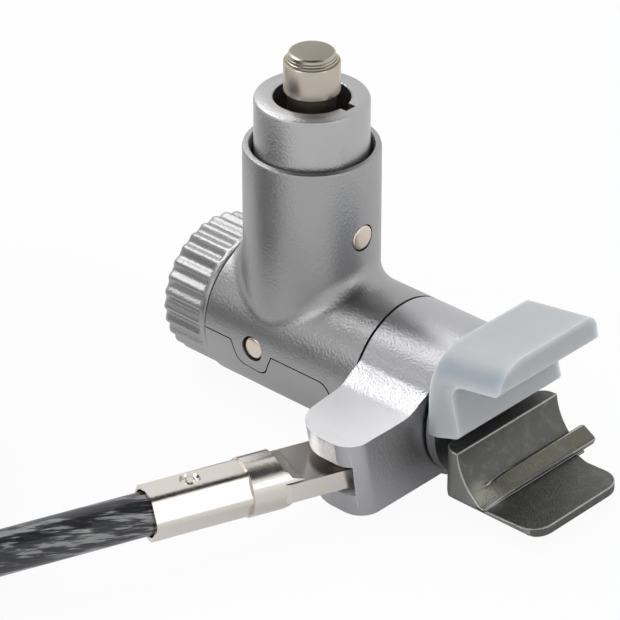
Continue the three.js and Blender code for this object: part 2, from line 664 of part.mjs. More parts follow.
// ---------------------------------------------------------------- collar, lug pin and friction ring
function swivelCollar() {
  const plan = outline([
    [collarBack, barrelRadius + 1], [collarBack, -barrelRadius],
    [collarBack + lugTaper, lugEnd, lugBackCorner], [collarFront, lugEnd, lugFrontCorner],
    [collarFront, barrelRadius + 1],
  ]);
  // The lug's end leans: the plan slides back as it goes down.
  const lean = lugDraft / (lugTop - lugBottom);
  const leaningPlan = plate('z', plan, -barrelRadius - 1, barrelRadius + 1, 4)
    .transform([1, 0, 0, 0, 0, 1, 0, 0, 0, -lean, 1, 0, 0, lean * lugTop, 0, 1]);
  const meet = 0.62 * barrelRadius;
  const lug = new THREE.Shape();
  lug.moveTo(lugEnd - 1, lugBottom);
  lug.lineTo(lugEnd - 1, lugTop);
  lug.lineTo(-barrelRadius - lugBlend / 2, lugTop);
  lug.quadraticCurveTo(-barrelRadius, lugTop, -meet, Math.sqrt(barrelRadius ** 2 - meet ** 2) - 0.02);
  lug.lineTo(0, 0);
  lug.lineTo(-barrelRadius / 2, lugBottom);
  const slotEdgeX = lugPinX + tongueHalfWidth + slotSideRoom;
  const slotEdgeY = lugPinY + tongueHalfWidth + slotSideRoom;
  const slot = outline([
    [collarBack - 1, lugEnd - 1], [slotEdgeX, lugEnd - 1],
    [slotEdgeX, slotEdgeY, tongueHalfWidth - slotSideRoom], [collarBack - 1, slotEdgeY],
  ]);
  return rod('x', collarBack, collarFront, barrelRadius)
    .add(plate('x', lug, collarBack, collarFront, 6).intersect(leaningPlan))
    .subtract(rod('x', collarBack - 1, collarFront + 1, spigotRadius + runningGap))
    .subtract(plate('z', slot, slotBottom, slotTop))
    .subtract(rod('z', lugBottom - 1, lugTop - lugPinCover + runningGap, lugPinRadius + runningGap, smallFacets)
      .translate([lugPinX, lugPinY, 0]));
}

addPiece('swivel_collar', swivelCollar(), finishes.castSilver);
addPiece('lug_pin', rod('z', lugBottom + 0.1, lugTop - lugPinCover, lugPinRadius, smallFacets)
  .translate([lugPinX, lugPinY, 0]), finishes.nickel);
addPiece('friction_ring', ring('x', collarMiddle - ringGrooveWidth / 2 + runningGap,
  collarMiddle + ringGrooveWidth / 2 - runningGap, spigotRadius, spigotRadius - ringGrooveDepth + runningGap, 32),
finishes.blackRubber);

// ---------------------------------------------------------------- lock cylinder
function cylinderSleeve() {
  const slotHalf = cylinderPinRadius + runningGap;
  return turned('z', [
    [sleeveBottom, chamberRadius], [sleeveBottom, sleeveRadius], [sleeveTop - sleeveEdge, sleeveRadius],
    [sleeveTop, sleeveRadius - sleeveEdge], [sleeveTop, keyHoleRadius], [keyHoleFloor, keyHoleRadius],
    [keyHoleFloor, chamberRadius], [sleeveBottom, chamberRadius],
  ])
    .subtract(block(0, keyNotchReach, keyNotchOffset - keyNotchWidth / 2, keyNotchOffset + keyNotchWidth / 2,
      keyHoleFloor, sleeveTop + 1))
    .subtract(block(sleeveRadius - pinSlotDepth, sleeveRadius + 1, -slotHalf, slotHalf,
      cylinderPinHeight - slotHalf, cylinderPinHeight + plugTravel + slotHalf));
}

function keyPlug() {
  const headBottom = sleeveTop + postHeadStart;
  const headTop = headBottom + postHeadLength;
  const top = headTop + postTopLength;
  return turned('z', [
    [plugBottom, 0], [plugBottom, chamberRadius - runningGap], [plugTop, chamberRadius - runningGap],
    [plugTop, postNeckRadius], [headBottom, postNeckRadius], [headBottom + 0.2, postHeadRadius],
    [headTop, postHeadRadius], [headTop + 0.45 * postTopLength, postTopRadius],
    [top - 0.15, postTopRadius], [top, postTopRadius - 0.15], [top, 0],
  ], 28);
}

function lockBolt() {
  const shoulder = boltTipHeight + plugTravel + boltWidth / 2;
  return rod('z', shoulder, carrierBottom - runningGap, boltRadius, smallFacets)
    .add(block(-boltLength / 2, boltLength / 2, -boltWidth / 2, boltWidth / 2, boltTipHeight, shoulder + 0.1))
    .translate([boltOffset, 0, 0]);
}

function returnSpring() {
  const low = tubeFloor + springWire / 2 + runningGap;
  const high = carrierBottom - springWire / 2 - runningGap;
  const stepsPerTurn = 14;
  const points = [];
  for (let i = 0; i <= springTurns * stepsPerTurn; i += 1) {
    const angle = (i / stepsPerTurn) * 2 * Math.PI;
    const z = low + ((high - low) * i) / (springTurns * stepsPerTurn);
    points.push(new THREE.Vector3(springRadius * Math.cos(angle), springRadius * Math.sin(angle), z));
  }
  return cord(points, springTurns * stepsPerTurn, springWire);
}

addPiece('cylinder_sleeve', cylinderSleeve(), finishes.castSilver);
addPiece('key_plug', keyPlug(), finishes.nickel);
addPiece('bolt_carrier', rod('z', carrierBottom, carrierTop, chamberRadius - runningGap, 28), finishes.steel);
addPiece('lock_bolt', lockBolt(), finishes.steel);
addPiece('return_spring', returnSpring(), finishes.steel);

// ---------------------------------------------------------------- cable end fitting and cable
// Along the cable: x runs from the lug pin to the coil, y across, z up from the cable's axis.
const cableRun = new THREE.Group();
cableRun.position.set(lugPinX, lugPinY, cableAxisZ);
cableRun.rotation.z = -(90 + cableYaw) * degrees;
head.add(cableRun);

function cableEndFitting() {
  const half = tongueThickness / 2;
  const tongue = outline([
    [-tongueHalfWidth, -tongueHalfWidth, 0.99 * tongueHalfWidth], [scoopStart, -tongueHalfWidth, 1],
    [scoopStart, tongueHalfWidth, 1], [-tongueHalfWidth, tongueHalfWidth, 0.99 * tongueHalfWidth],
  ]);
  const tall = fittingHexRadius + 1;
  const scoop = new THREE.Shape();
  const scoopEnd = scoopStart - scoopLength;
  scoop.moveTo(scoopEnd, half);
  scoop.quadraticCurveTo(scoopStart, half, scoopStart + 0.2, tall);
  scoop.lineTo(fittingLength, tall);
  scoop.lineTo(fittingLength, -tall);
  scoop.lineTo(scoopStart + 0.2, -tall);
  scoop.quadraticCurveTo(scoopStart, -half, scoopEnd, -half);
  return rod('x', scoopEnd, fittingHexStart, neckRadius, 24)
    .intersect(plate('y', scoop, -tall, tall, 5))
    .add(plate('z', tongue, -half, half, 5))
    .add(rod('x', fittingHexStart - 0.5, fittingLength, fittingHexRadius, 6, Math.PI / 6))
    .subtract(rod('z', -tall, tall, lugPinRadius + runningGap, smallFacets));
}

addPiece('cable_end_fitting', cableEndFitting(), finishes.nickel, cableRun);

// The coil lies on its two straps, beside the line of the cable; x and y from the coil's middle.
const coilPitch = cableDiameter + 0.05;
const coilTurnsPerLayer = (coilFullTurns - (coilExitAngle + cableYaw) / 360) / coilLayers;
const coilHalfWidth = (coilTurnsPerLayer * coilPitch) / 2;
const coilOuterTurn = cableMidRadius + coilHalfWidth;
const coilOuter = coilOuterTurn + cableDiameter / 2 + 0.1;
const coilInner = cableMidRadius - coilHalfWidth - cableDiameter / 2 - 0.1;
const coilBottom = ground + tieThickness + runningGap - cableAxisZ;
const coilTop = coilBottom + cableDiameter + (coilLayers - 1) * coilPitch + 0.05;
const loopHeight = coilTop + tieThickness + 2 * runningGap + cableDiameter / 2;
const leadEnd = coilReach - Math.sqrt((coilOuter + runningGap + cableDiameter / 2) ** 2 - coilOuterTurn ** 2);
addPiece('cable_lead', cord([fittingLength + runningGap, leadEnd].map((x) => new THREE.Vector3(x, 0, 0)), 3),
  finishes.cablePlastic, cableRun);
const coil = new THREE.Group();
coil.position.set(coilReach, -coilOuterTurn, 0);
coil.rotation.z = 90 * degrees;
cableRun.add(coil);

const coilEdge = 1.2;
addPiece('cable_coil', turned('z', [
  [coilBottom, coilInner + coilEdge], [coilBottom, coilOuter - coilEdge], [coilBottom + coilEdge, coilOuter],
  [coilTop - coilEdge, coilOuter], [coilTop, coilOuter - coilEdge], [coilTop, coilInner + coilEdge],
  [coilTop - coilEdge, coilInner], [coilBottom + coilEdge, coilInner], [coilBottom, coilInner + coilEdge],
], 48), finishes.cablePlastic, coil);

function coilTie() {
  const innerSide = Math.sqrt(coilInner ** 2 - (tieWidth / 2) ** 2);
  const band = (by) => outline([
    [innerSide - by, coilBottom - by], [coilOuter + by, coilBottom - by],
    [coilOuter + by, coilTop + by], [innerSide - by, coilTop + by],
  ]);
  const shape = band(runningGap + tieThickness);
  shape.holes.push(new THREE.Path(band(runningGap).getPoints()));
  return plate('y', shape, -tieWidth / 2, tieWidth / 2);
}

const tieAngles = { coil_tie_a: 75, coil_tie_b: 285 };
for (const [name, angle] of Object.entries(tieAngles)) {
  addPiece(name, coilTie().rotate([0, 0, angle + cableYaw]), finishes.strap, coil);
}

// The end of the cable climbs onto the coil, turns, runs through the sleeve, and comes back to it in a loop.
const exitAngle = (coilExitAngle + cableYaw) * degrees;
const climb = coilClimb * degrees;
const climbSteps = 4;
const approachRadius = coilOuterTurn - 0.3;
const loopPoints = [];
for (let i = 0; i <= climbSteps; i += 1) {
  const angle = exitAngle + climb * (1 - i / climbSteps);
  const z = THREE.MathUtils.lerp(coilTop + runningGap + cableDiameter / 2 + 0.3, loopHeight, i / climbSteps);
  loopPoints.push(new THREE.Vector3(approachRadius * Math.cos(angle), approachRadius * Math.sin(angle), z));
}
// Each stretch after that turns by an angle on a bend radius, or runs straight.
let place = loopPoints[climbSteps].clone();
let heading = exitAngle - Math.PI / 2;
function runOn(length, turn, steps) {
  for (let i = 0; i < steps; i += 1) {
    const half = turn / steps / 2;
    const chord = turn === 0 ? length / steps : (length / Math.abs(turn)) * 2 * Math.sin(Math.abs(half));
    heading += half;
    place = place.clone().add(new THREE.Vector3(Math.cos(heading), Math.sin(heading), 0).multiplyScalar(chord));
    heading += half;
    loopPoints.push(place.clone());
  }
}
const approach = loopApproachTurn * degrees;
runOn(loopBend * approach, -approach, 6);
runOn(2, 0, 1);
const sleeveStart = { place: place.clone(), heading };
runOn(sleeveLength, 0, 3);
runOn(1.5, 0, 1);
const neckSide = strandSpacing / 2 + loopBend;
const neckTurn = Math.PI / 2 - Math.asin(neckSide / (2 * loopBend));
runOn(loopBend * neckTurn, neckTurn, 4);
runOn(loopBend * (Math.PI + 2 * neckTurn), -(Math.PI + 2 * neckTurn), 16);
runOn(loopBend * neckTurn, neckTurn, 4);
runOn(1.5, 0, 1);
runOn(sleeveLength - 1, 0, 3);

addPiece('cable_loop', cord(loopPoints, 46), finishes.cablePlastic, coil);

function loopSleeve() {
  const halfHeight = cableDiameter / 2 + runningGap + sleeveWall;
  const middleY = -strandSpacing / 2;
  const bore = rod('x', -1, sleeveLength + 1, cableDiameter / 2 + runningGap, smallFacets);
  return rod('x', 0, sleeveLength, halfHeight, 24)
    .add(rod('x', 0, sleeveLength, halfHeight, 24).translate([0, -strandSpacing, 0]))
    .add(block(0, sleeveLength, -strandSpacing, 0, -halfHeight, halfHeight))
    .subtract(bore)
    .subtract(bore.translate([0, 2 * middleY, 0]));
}

const sleeveGroup = new THREE.Group();
sleeveGroup.position.copy(sleeveStart.place);
sleeveGroup.rotation.z = sleeveStart.heading;
coil.add(sleeveGroup);
addPiece('loop_sleeve', loopSleeve(), finishes.steel, sleeveGroup);

export default group;
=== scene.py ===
from math import asin, atan2, copysign, cos, degrees, pi, radians, sin, sqrt, tan

import bmesh
import bpy
from mathutils import Matrix, Vector


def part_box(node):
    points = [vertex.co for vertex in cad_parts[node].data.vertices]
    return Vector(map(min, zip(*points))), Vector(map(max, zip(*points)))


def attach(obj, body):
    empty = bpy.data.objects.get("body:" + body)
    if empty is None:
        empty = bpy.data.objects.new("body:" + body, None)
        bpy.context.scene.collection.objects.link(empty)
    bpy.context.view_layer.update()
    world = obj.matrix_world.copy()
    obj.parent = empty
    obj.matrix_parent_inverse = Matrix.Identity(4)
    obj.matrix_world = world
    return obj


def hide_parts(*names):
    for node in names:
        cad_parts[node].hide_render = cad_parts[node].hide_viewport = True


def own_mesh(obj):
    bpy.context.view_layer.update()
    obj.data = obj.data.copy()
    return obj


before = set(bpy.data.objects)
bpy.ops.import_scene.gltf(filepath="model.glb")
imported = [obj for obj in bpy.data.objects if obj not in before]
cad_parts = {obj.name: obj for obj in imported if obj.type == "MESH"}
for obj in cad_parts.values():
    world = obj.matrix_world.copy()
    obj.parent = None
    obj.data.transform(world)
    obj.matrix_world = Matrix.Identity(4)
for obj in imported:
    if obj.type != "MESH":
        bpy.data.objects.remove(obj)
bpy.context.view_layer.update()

# ---------------------------------------------------------------- camera
# The photographer stands off the cable's side, a third of the way up, with a long lens that keeps the barrel
# almost parallel. Places are in millimetres from where the tube's axis meets the barrel's.
MM = 0.001
HEAD_CENTRE = Vector((-11.27, 4.325, 7.8))
look_down, look_round = 30.80, 42.735
scene = bpy.context.scene


def spot(x, y, z):
    """A point of the head in the frame, in metres: +X to the jaws, -Y to the cable, +Z up the tube."""
    return (Vector((x, y, z)) + HEAD_CENTRE) * MM


camera_data = bpy.data.cameras.new("camera")
camera_data.sensor_width = 36
camera_data.lens = 245.6
camera_data.clip_end = 20
camera = bpy.data.objects.new("camera", camera_data)
camera.location = spot(251.70, -272.72, 223.03)
camera.rotation_euler = (radians(90 - look_down), 0, radians(look_round))
scene.collection.objects.link(camera)
scene.camera = camera

# ---------------------------------------------------------------- cable
# Galvanised steel wire rope, 3 mm, in a jacket of clear smoked PVC, 4.4 mm over all and 1.8 m long. It leaves
# the end fitting straight, is wound in four layers of a neat coil and ends in a loop, held by a sleeve.
cable_diameter = 4.4
cable_axis_height = -2.2
lug_pin_place = (17.22, -14.2)
cable_yaw = 20.9
fitting_length = 21.3
cable_start = 18.0
cable_pitch = cable_diameter + 0.05
coil_mid_radius = 24.5
coil_layers = 4
coil_exit_angle = -50
coil_turns = 10 - (coil_exit_angle + cable_yaw) / 360
turns_per_layer = coil_turns / coil_layers
coil_outer_turn = coil_mid_radius + turns_per_layer * cable_pitch / 2
coil_inner_turn = coil_mid_radius - turns_per_layer * cable_pitch / 2
coil_reach = 63.0
coil_climb = 45
strap_thickness = 0.65
clearance = 0.3
first_layer = strap_thickness + clearance + cable_diameter / 2 - HEAD_CENTRE.z - cable_axis_height
last_layer = first_layer + (coil_layers - 1) * cable_pitch
coil_top = last_layer + cable_diameter / 2 + 0.05
loop_height = coil_top + strap_thickness + 2 * clearance + cable_diameter / 2
strand_spacing = 5.5
sleeve_length = 16.0
loop_bend = 17.6
loop_approach = 120


def linear(code):
    """The linear colour of an sRGB hex value."""
    shares = [int(code[i:i + 2], 16) / 255 for i in (1, 3, 5)]
    return tuple(c / 12.92 if c <= 0.04045 else ((c + 0.055) / 1.055) ** 2.4 for c in shares) + (1,)


def add(tree, kind, settings=None, sockets=None):
    """Adds a node with its settings; each socket takes a value, an output or another node's first output."""
    node = tree.nodes.new("ShaderNode" + kind)
    for name, value in (settings or {}).items():
        setattr(node, name, value)
    for key, value in (sockets or {}).items():
        if isinstance(value, bpy.types.Node):
            value = value.outputs[0]
        if isinstance(value, bpy.types.NodeSocket):
            tree.links.new(value, node.inputs[key])
        else:
            node.inputs[key].default_value = value
    return node


def maths(tree, operation, *inputs):
    """One sum on values or outputs."""
    return add(tree, "Math", {"operation": operation}, dict(enumerate(inputs)))


def parts(tree, vector):
    """The x, y and z of a vector."""
    return add(tree, "SeparateXYZ", sockets={0: vector}).outputs


def bump(tree, height, strength, depth):
    """The normal of a skin that rises by a height from 0 to 1, its full depth in millimetres."""
    return add(tree, "Bump", sockets={"Height": height, "Strength": strength, "Distance": depth * MM})


def new_material(name):
    """A node material with nothing in it yet, and its tree."""
    material = bpy.data.materials.new(name)
    material.use_nodes = True
    material.node_tree.nodes.clear()
    return material, material.node_tree


def surface(tree, shader):
    """Ends a material in this shader."""
    add(tree, "OutputMaterial", sockets={"Surface": shader})


def finished(material, sockets):
    """The material, ended in one shader with these sockets."""
    tree = material.node_tree
    surface(tree, add(tree, "BsdfPrincipled", sockets=sockets))
    return material


def smoked_pvc_over_wire_rope():
    """Glossy clear plastic over dark steel strands, whose wires show as long fine streaks that wander."""
    lay_length = -75.0
    material, tree = new_material("smoked_pvc_over_wire_rope")
    # UV is millimetres along the cable and turns round it; the strands lean with the lay.
    along, turns = parts(tree, add(tree, "UVMap", {"uv_map": "along_and_round"}))[:2]
    leaning = maths(tree, "ADD", maths(tree, "DIVIDE", along, lay_length), turns)
    angle = maths(tree, "MULTIPLY", leaning, 2 * pi)
    round_x, round_y = maths(tree, "COSINE", angle), maths(tree, "SINE", angle)

    def streaks(stretch, scale, detail):
        """Noise on the strands' own surface, its marks `stretch` millimetres long for each unit round it."""
        length = maths(tree, "DIVIDE", along, stretch)
        where = add(tree, "CombineXYZ", sockets={0: round_x, 1: round_y, 2: length})
        return add(tree, "TexNoise", sockets={
            "Vector": where, "Scale": scale, "Detail": detail, "Roughness": 0.6, "Distortion": 0.2})

    strands, wires = streaks(14.0, 2.2, 2.0), streaks(22.0, 10.0, 4.0)
    depth = maths(tree, "MULTIPLY_ADD", wires, 0.75, strands)
    colour = add(tree, "ValToRGB", sockets={0: depth})
    ramp = colour.color_ramp.elements
    ramp[0].position, ramp[0].color = 0.78, linear("#101012")
    ramp[1].position, ramp[1].color = 1.0, linear("#93948c")
    ramp.new(0.9).color = linear("#2b2c2d")
    return finished(material, {
        "Base Color": colour, "Metallic": 0.0, "Roughness": 0.55, "IOR": 1.45,
        "Normal": bump(tree, depth, 0.6, 0.15), "Coat Weight": 0.55, "Coat Roughness": 0.05, "Coat IOR": 1.53,
        "Coat Tint": linear("#e3e4f6"), "Coat Normal": bump(tree, strands, 0.4, 0.2)})


def eased(share):
    """A share from 0 to 1, starting and ending level."""
    return (1 - cos(pi * min(max(share, 0), 1))) / 2


def along_cable(x, y, z):
    """A point on the cable's own axes, in head millimetres: x from the lug pin down the cable, y across."""
    turn = radians(-90 - cable_yaw)
    return Vector((lug_pin_place[0] + x * cos(turn) - y * sin(turn),
                   lug_pin_place[1] + x * sin(turn) + y * cos(turn), cable_axis_height + z))


def on_coil(radius, angle, height):
    """A point of the coil on the cable's axes: angle in radians from where the cable meets the coil."""
    return Vector((coil_reach - radius * sin(angle), -coil_outer_turn + radius * cos(angle), height))


def cable_route():
    """The cable's centreline in head millimetres, about 1.5 mm apart, and where its sleeve starts."""
    step = 1.5
    drop_start, drop_length = 41.0, 15.0
    points = []
    count = round((coil_reach - cable_start) / step)
    for i in range(count):
        x = cable_start + i * (coil_reach - cable_start) / count
        points.append(Vector((x, 0, first_layer * eased((x - drop_start) / drop_length))))
    # layer on layer, inwards and outwards by turns, then up over the coil's last edge
    climb_turns, change_turns, drawn_in = coil_climb / 360, 1 / 3, 0.3
    turned_so_far = 0
    while turned_so_far < coil_turns:
        layer = int(turned_so_far / turns_per_layer)
        into_layer = turned_so_far - layer * turns_per_layer
        from_outside = into_layer if layer % 2 == 0 else turns_per_layer - into_layer
        climb = eased((turned_so_far - (coil_turns - climb_turns)) / climb_turns)
        radius = coil_outer_turn - from_outside * cable_pitch - drawn_in * climb
        layers_up = sum(eased((turned_so_far - n * turns_per_layer) / change_turns + 0.5)
                        for n in range(1, coil_layers))
        height = first_layer + layers_up * cable_pitch + (loop_height - last_layer) * climb
        points.append(on_coil(radius, -turned_so_far * 2 * pi, height))
        turned_so_far += step / (2 * pi * radius)
    # the loop: each stretch turns by an angle on a bend radius, or runs straight
    heading = -coil_turns * 2 * pi
    place = on_coil(coil_outer_turn - drawn_in, heading, loop_height)
    neck_turn = pi / 2 - asin((strand_spacing / 2 + loop_bend) / (2 * loop_bend))
    approach = radians(loop_approach)
    stretches = [
        (loop_bend * approach, -approach), (2.0, 0), (sleeve_length, 0), (1.5, 0),
        (loop_bend * neck_turn, neck_turn),
        (loop_bend * (pi + 2 * neck_turn), -(pi + 2 * neck_turn)),
        (loop_bend * neck_turn, neck_turn), (1.5, 0), (sleeve_length - 1, 0),
    ]
    points.append(place.copy())
    for number, (length, turn) in enumerate(stretches):
        if number == 2:
            sleeve_start = (place.copy(), heading)
        count = max(1, round(length / step))
        for i in range(count):
            half = turn / count / 2
            chord = length / count if turn == 0 else length / abs(turn) * 2 * sin(abs(half))
            heading += half
            place = place + Vector((cos(heading), sin(heading), 0)) * chord
            heading += half
            points.append(place.copy())
    return [along_cable(*p) for p in points], sleeve_start


def wall(count, sides, closed=False):
    """The faces between `count` rings of points that follow one another, or that close in a circle."""
    faces = []
    for i in range(count if closed else count - 1):
        a, b = i * sides, (i + 1) % count * sides
        faces += [(a + k, a + (k + 1) % sides, b + (k + 1) % sides, b + k) for k in range(sides)]
    return faces


def ends(count, sides):
    """The two faces that close the first and the last ring."""
    last = (count - 1) * sides
    return [tuple(reversed(range(sides))), tuple(range(last, last + sides))]


def tube_mesh(name, points, radius, sides):
    """A round cord along points, its UV in millimetres along and turns round."""
    verts, uvs, distances = [], [], []
    side = Vector((0, 0, 1)).cross(points[1] - points[0]).normalized()
    along = 0
    for i, point in enumerate(points):
        ahead = points[min(i + 1, len(points) - 1)] - points[max(i - 1, 0)]
        side = (side - ahead * side.dot(ahead) / ahead.length_squared).normalized()
        up = ahead.normalized().cross(side)
        along += (point - points[i - 1]).length if i else 0
        distances.append(along)
        for k in range(sides):
            angle = 2 * pi * k / sides
            verts.append(point + (side * cos(angle) + up * sin(angle)) * radius)
    for start, end in zip(distances, distances[1:]):
        for k in range(sides):
            uvs += [(start, k / sides), (start, (k + 1) / sides), (end, (k + 1) / sides), (end, k / sides)]
    uvs += [(0, k / sides) for k in range(sides)] + [(along, k / sides) for k in range(sides)]
    mesh = bpy.data.meshes.new(name)
    mesh.from_pydata(verts, [], wall(len(points), sides) + ends(len(points), sides))
    layer = mesh.uv_layers.new(name="along_and_round")
    layer.data.foreach_set("uv", [value for uv in uvs for value in uv])
    return mesh


def place_piece(name, mesh, material, body, stands_for, smooth=35):
    """Puts a mesh made in head millimetres into the frame, smooths it up to its sharp edges, and rides it."""
    mesh.transform(Matrix.Scale(MM, 4) @ Matrix.Translation(HEAD_CENTRE))
    mesh.materials.clear()
    mesh.materials.append(material)
    mesh.shade_smooth()
    mesh.set_sharp_from_angle(angle=radians(smooth))
    piece = bpy.data.objects.new(name, mesh)
    scene.collection.objects.link(piece)
    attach(piece, body)
    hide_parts(*stands_for)
    return piece


route, (sleeve_place, sleeve_heading) = cable_route()
cable = place_piece("cable", tube_mesh("cable", route, cable_diameter / 2, 28), smoked_pvc_over_wire_rope(),
                    "cable", ["cable_lead", "cable_coil", "cable_loop"])

# ---------------------------------------------------------------- straps and pressed sleeve
# Two black hook-and-loop straps hold the coil flat. The loop's sleeve is soft aluminium, pressed over the
# two strands side by side, with the press's bands left round it.
strap_width = 8.0
strap_angles = {"coil_tie_a": 75, "coil_tie_b": 285}
coil_inside = coil_inner_turn - cable_diameter / 2 - 0.1
coil_outside = coil_outer_turn + cable_diameter / 2 + 0.1
coil_bottom = first_layer - cable_diameter / 2


def object_place(tree):
    """Where a point lies in the frame, in metres."""
    return add(tree, "TexCoord").outputs["Object"]


def noise(tree, size, detail=2.0, roughness=0.5, place=None):
    """Cloudy noise fixed to the piece, its marks about `size` millimetres across."""
    if place is None:
        place = object_place(tree)
    return add(tree, "TexNoise", sockets={
        "Vector": place, "Scale": 1 / (size * MM), "Detail": detail, "Roughness": roughness})


def ranged(tree, value, start, end, low, high, kind="LINEAR"):
    """A value's stretch from start to end, drawn out from low to high."""
    return add(tree, "MapRange", {"interpolation_type": kind}, {
        "Value": value, 1: start, 2: end, 3: low, 4: high})


def hook_and_loop_tape():
    """Brushed black nylon: a soft fuzz of loops about 0.4 mm across, paler where it catches the light."""
    material, tree = new_material("hook_and_loop_tape")
    loops = noise(tree, 0.4, 3.0)
    colour = add(tree, "ValToRGB", sockets={0: loops})
    colour.color_ramp.elements[0].color = linear("#0f0f10")
    colour.color_ramp.elements[1].color = linear("#3b3b3f")
    return finished(material, {
        "Base Color": colour, "Roughness": 0.9, "IOR": 1.5, "Sheen Weight": 0.35, "Sheen Roughness": 0.5,
        "Normal": bump(tree, loops, 0.8, 0.15)})


def pressed_aluminium():
    """Soft aluminium: a pale satin skin with flat scuffs from the press."""
    material, tree = new_material("pressed_aluminium")
    stretched = add(tree, "Mapping", sockets={"Vector": object_place(tree), "Scale": (1, 1, 4)})
    scuffs = noise(tree, 0.6, 4.0, place=stretched)
    return finished(material, {
        "Base Color": linear("#b6b7b8"), "Metallic": 1.0, "Roughness": ranged(tree, scuffs, 0, 1, 0.28, 0.5),
        "Normal": bump(tree, scuffs, 0.3, 0.05)})


def mesh_of(name, verts, faces):
    """A mesh with its doubled points merged and its faces turned outwards."""
    mesh = bpy.data.meshes.new(name)
    mesh.from_pydata(verts, [], faces)
    shape = bmesh.new()
    shape.from_mesh(mesh)
    bmesh.ops.remove_doubles(shape, verts=shape.verts, dist=1e-5)
    bmesh.ops.recalc_face_normals(shape, faces=shape.faces)
    shape.to_mesh(mesh)
    shape.free()
    return mesh


def lofted(name, rings, closed=False):
    """A mesh through rings of points of equal count, its ends capped or joined to each other."""
    count, sides = len(rings), len(rings[0])
    faces = wall(count, sides, closed)
    if not closed:
        faces += ends(count, sides)
    return mesh_of(name, [point for ring in rings for point in ring], faces)


def rounded(corners, steps=8):
    """A closed outline through corners [x, y, rounding radius]; `steps` points on each rounding."""
    outline = []
    for i, corner in enumerate(corners):
        here, radius = Vector(corner[:2]), corner[2] if len(corner) > 2 else 0
        before = (Vector(corners[i - 1][:2]) - here).normalized()
        after = (Vector(corners[(i + 1) % len(corners)][:2]) - here).normalized()
        if radius == 0:
            outline.append(here)
            continue
        half = before.angle(after) / 2
        middle = here + (before + after).normalized() * (radius / sin(half))
        start = here + before * (radius / tan(half)) - middle
        sweep = start.angle_signed(here + after * (radius / tan(half)) - middle)
        outline += [middle + Matrix.Rotation(-sweep * k / steps, 2) @ start for k in range(steps + 1)]
    return outline


def coil_strap(angle):
    """A strap closed round the coil, at an angle from the head's +X."""
    bend = cable_diameter / 2 + clearance
    inside = sqrt(coil_inside ** 2 - (strap_width / 2) ** 2) - clearance
    outside = coil_outside + clearance
    low, high = coil_bottom - clearance, coil_top + clearance
    band = rounded([[inside, low, 1.2], [outside, low, bend], [outside, high, bend], [inside, high, 1.2]], 6)
    section = [(-0.5, 0.08), (-0.47, 0), (0.47, 0), (0.5, 0.08), (0.5, 0.92), (0.47, 1), (-0.47, 1),
               (-0.5, 0.92)]
    turn = Matrix.Rotation(radians(angle + cable_yaw), 2)
    rings = []
    for i, middle in enumerate(band):
        run = (band[(i + 1) % len(band)] - band[i - 1]).normalized()
        out = Vector((run.y, -run.x))
        ring = []
        for width, depth in section:
            rise = middle + out * depth * (strap_thickness - 0.03)
            across = turn @ Vector((rise.x, width * strap_width))
            ring.append(along_cable(*on_coil(across.length, atan2(across.y, across.x), rise.y)))
        rings.append(ring)
    return lofted("coil_strap", rings, closed=True)


def pressed_sleeve():
    """The sleeve over both strands: a flattened round tube, waisted where the press closed on it."""
    half_height = cable_diameter / 2 + clearance + 0.55
    half_width = strand_spacing / 2 + half_height
    bore = cable_diameter / 2 + 0.06
    stations = [(0.0, 0.9), (0.15, 0.97), (0.5, 1.0)]
    for start in (2.2, 6.2, 10.2):
        stations += [(start, 1.0), (start + 0.25, 0.94), (start + 2.9, 0.94), (start + 3.15, 1.0)]
    stations += [(sleeve_length - 0.5, 1.0), (sleeve_length - 0.15, 0.97), (sleeve_length, 0.9)]
    start = Matrix.Rotation(sleeve_heading, 4, "Z")

    def ring(at, width, height, sides=48):
        points = []
        for k in range(sides):
            angle = 2 * pi * k / sides
            y = copysign(abs(cos(angle)) ** 0.8, cos(angle)) * width - strand_spacing / 2
            z = copysign(abs(sin(angle)) ** 0.9, sin(angle)) * height
            points.append(along_cable(*(sleeve_place + start @ Vector((at, y, z)))))
        return points

    return lofted("loop_sleeve_pressed", [
        ring(1.2, half_width - 0.7, bore), ring(0.0, half_width - 0.6, bore),
        *[ring(at, half_width * share, half_height * share) for at, share in stations],
        ring(sleeve_length, half_width - 0.6, bore), ring(sleeve_length - 1.2, half_width - 0.7, bore)])


tape = hook_and_loop_tape()
straps = [place_piece(f"strap_{name[-1]}", coil_strap(angle), tape, "cable", [name], 60)
          for name, angle in strap_angles.items()]
sleeve = place_piece("pressed_sleeve", pressed_sleeve(), pressed_aluminium(), "cable",
                     ["loop_sleeve"])

# ---------------------------------------------------------------- cable end fitting
# A forged steel terminal, nickel plated: a flat eye on the lug's pin, a scooped round neck, and a socket that
# is crimped to a hexagon over the cable, with the crimping punch's ring mark on its top flat.
neck_radius = 3.04
tongue_half_width, tongue_half_thickness = 3.2, 1.05
hex_radius, hex_start = 3.03, 10.6
scoop_start = 7.7
socket_radius, socket_depth = 2.28, 4
mark_place, mark_floor, mark_top = (16.5, 0), 2.3, 3.2
lug_pin_radius = 1.25


def nickel_plate(name, grit, roughness, tint="#d6d0ca"):
    """Bright nickel: warm grey mirror, a little blurred, with the fine pits of the steel under it."""
    material, tree = new_material(name)
    waves = noise(tree, 8 * grit)
    return finished(material, {
        "Base Color": linear(tint), "Metallic": 1.0,
        "Roughness": ranged(tree, waves, 0, 1, roughness * 0.8, roughness * 1.3),
        "Normal": bump(tree, noise(tree, grit, 4.0, 0.6), 0.3, 0.04)})


def placed(axis, at, across, up):
    """A point at a place along an axis; the other two coordinates keep their order."""
    return {"x": (at, across, up), "y": (across, at, up), "z": (across, up, at)}[axis]


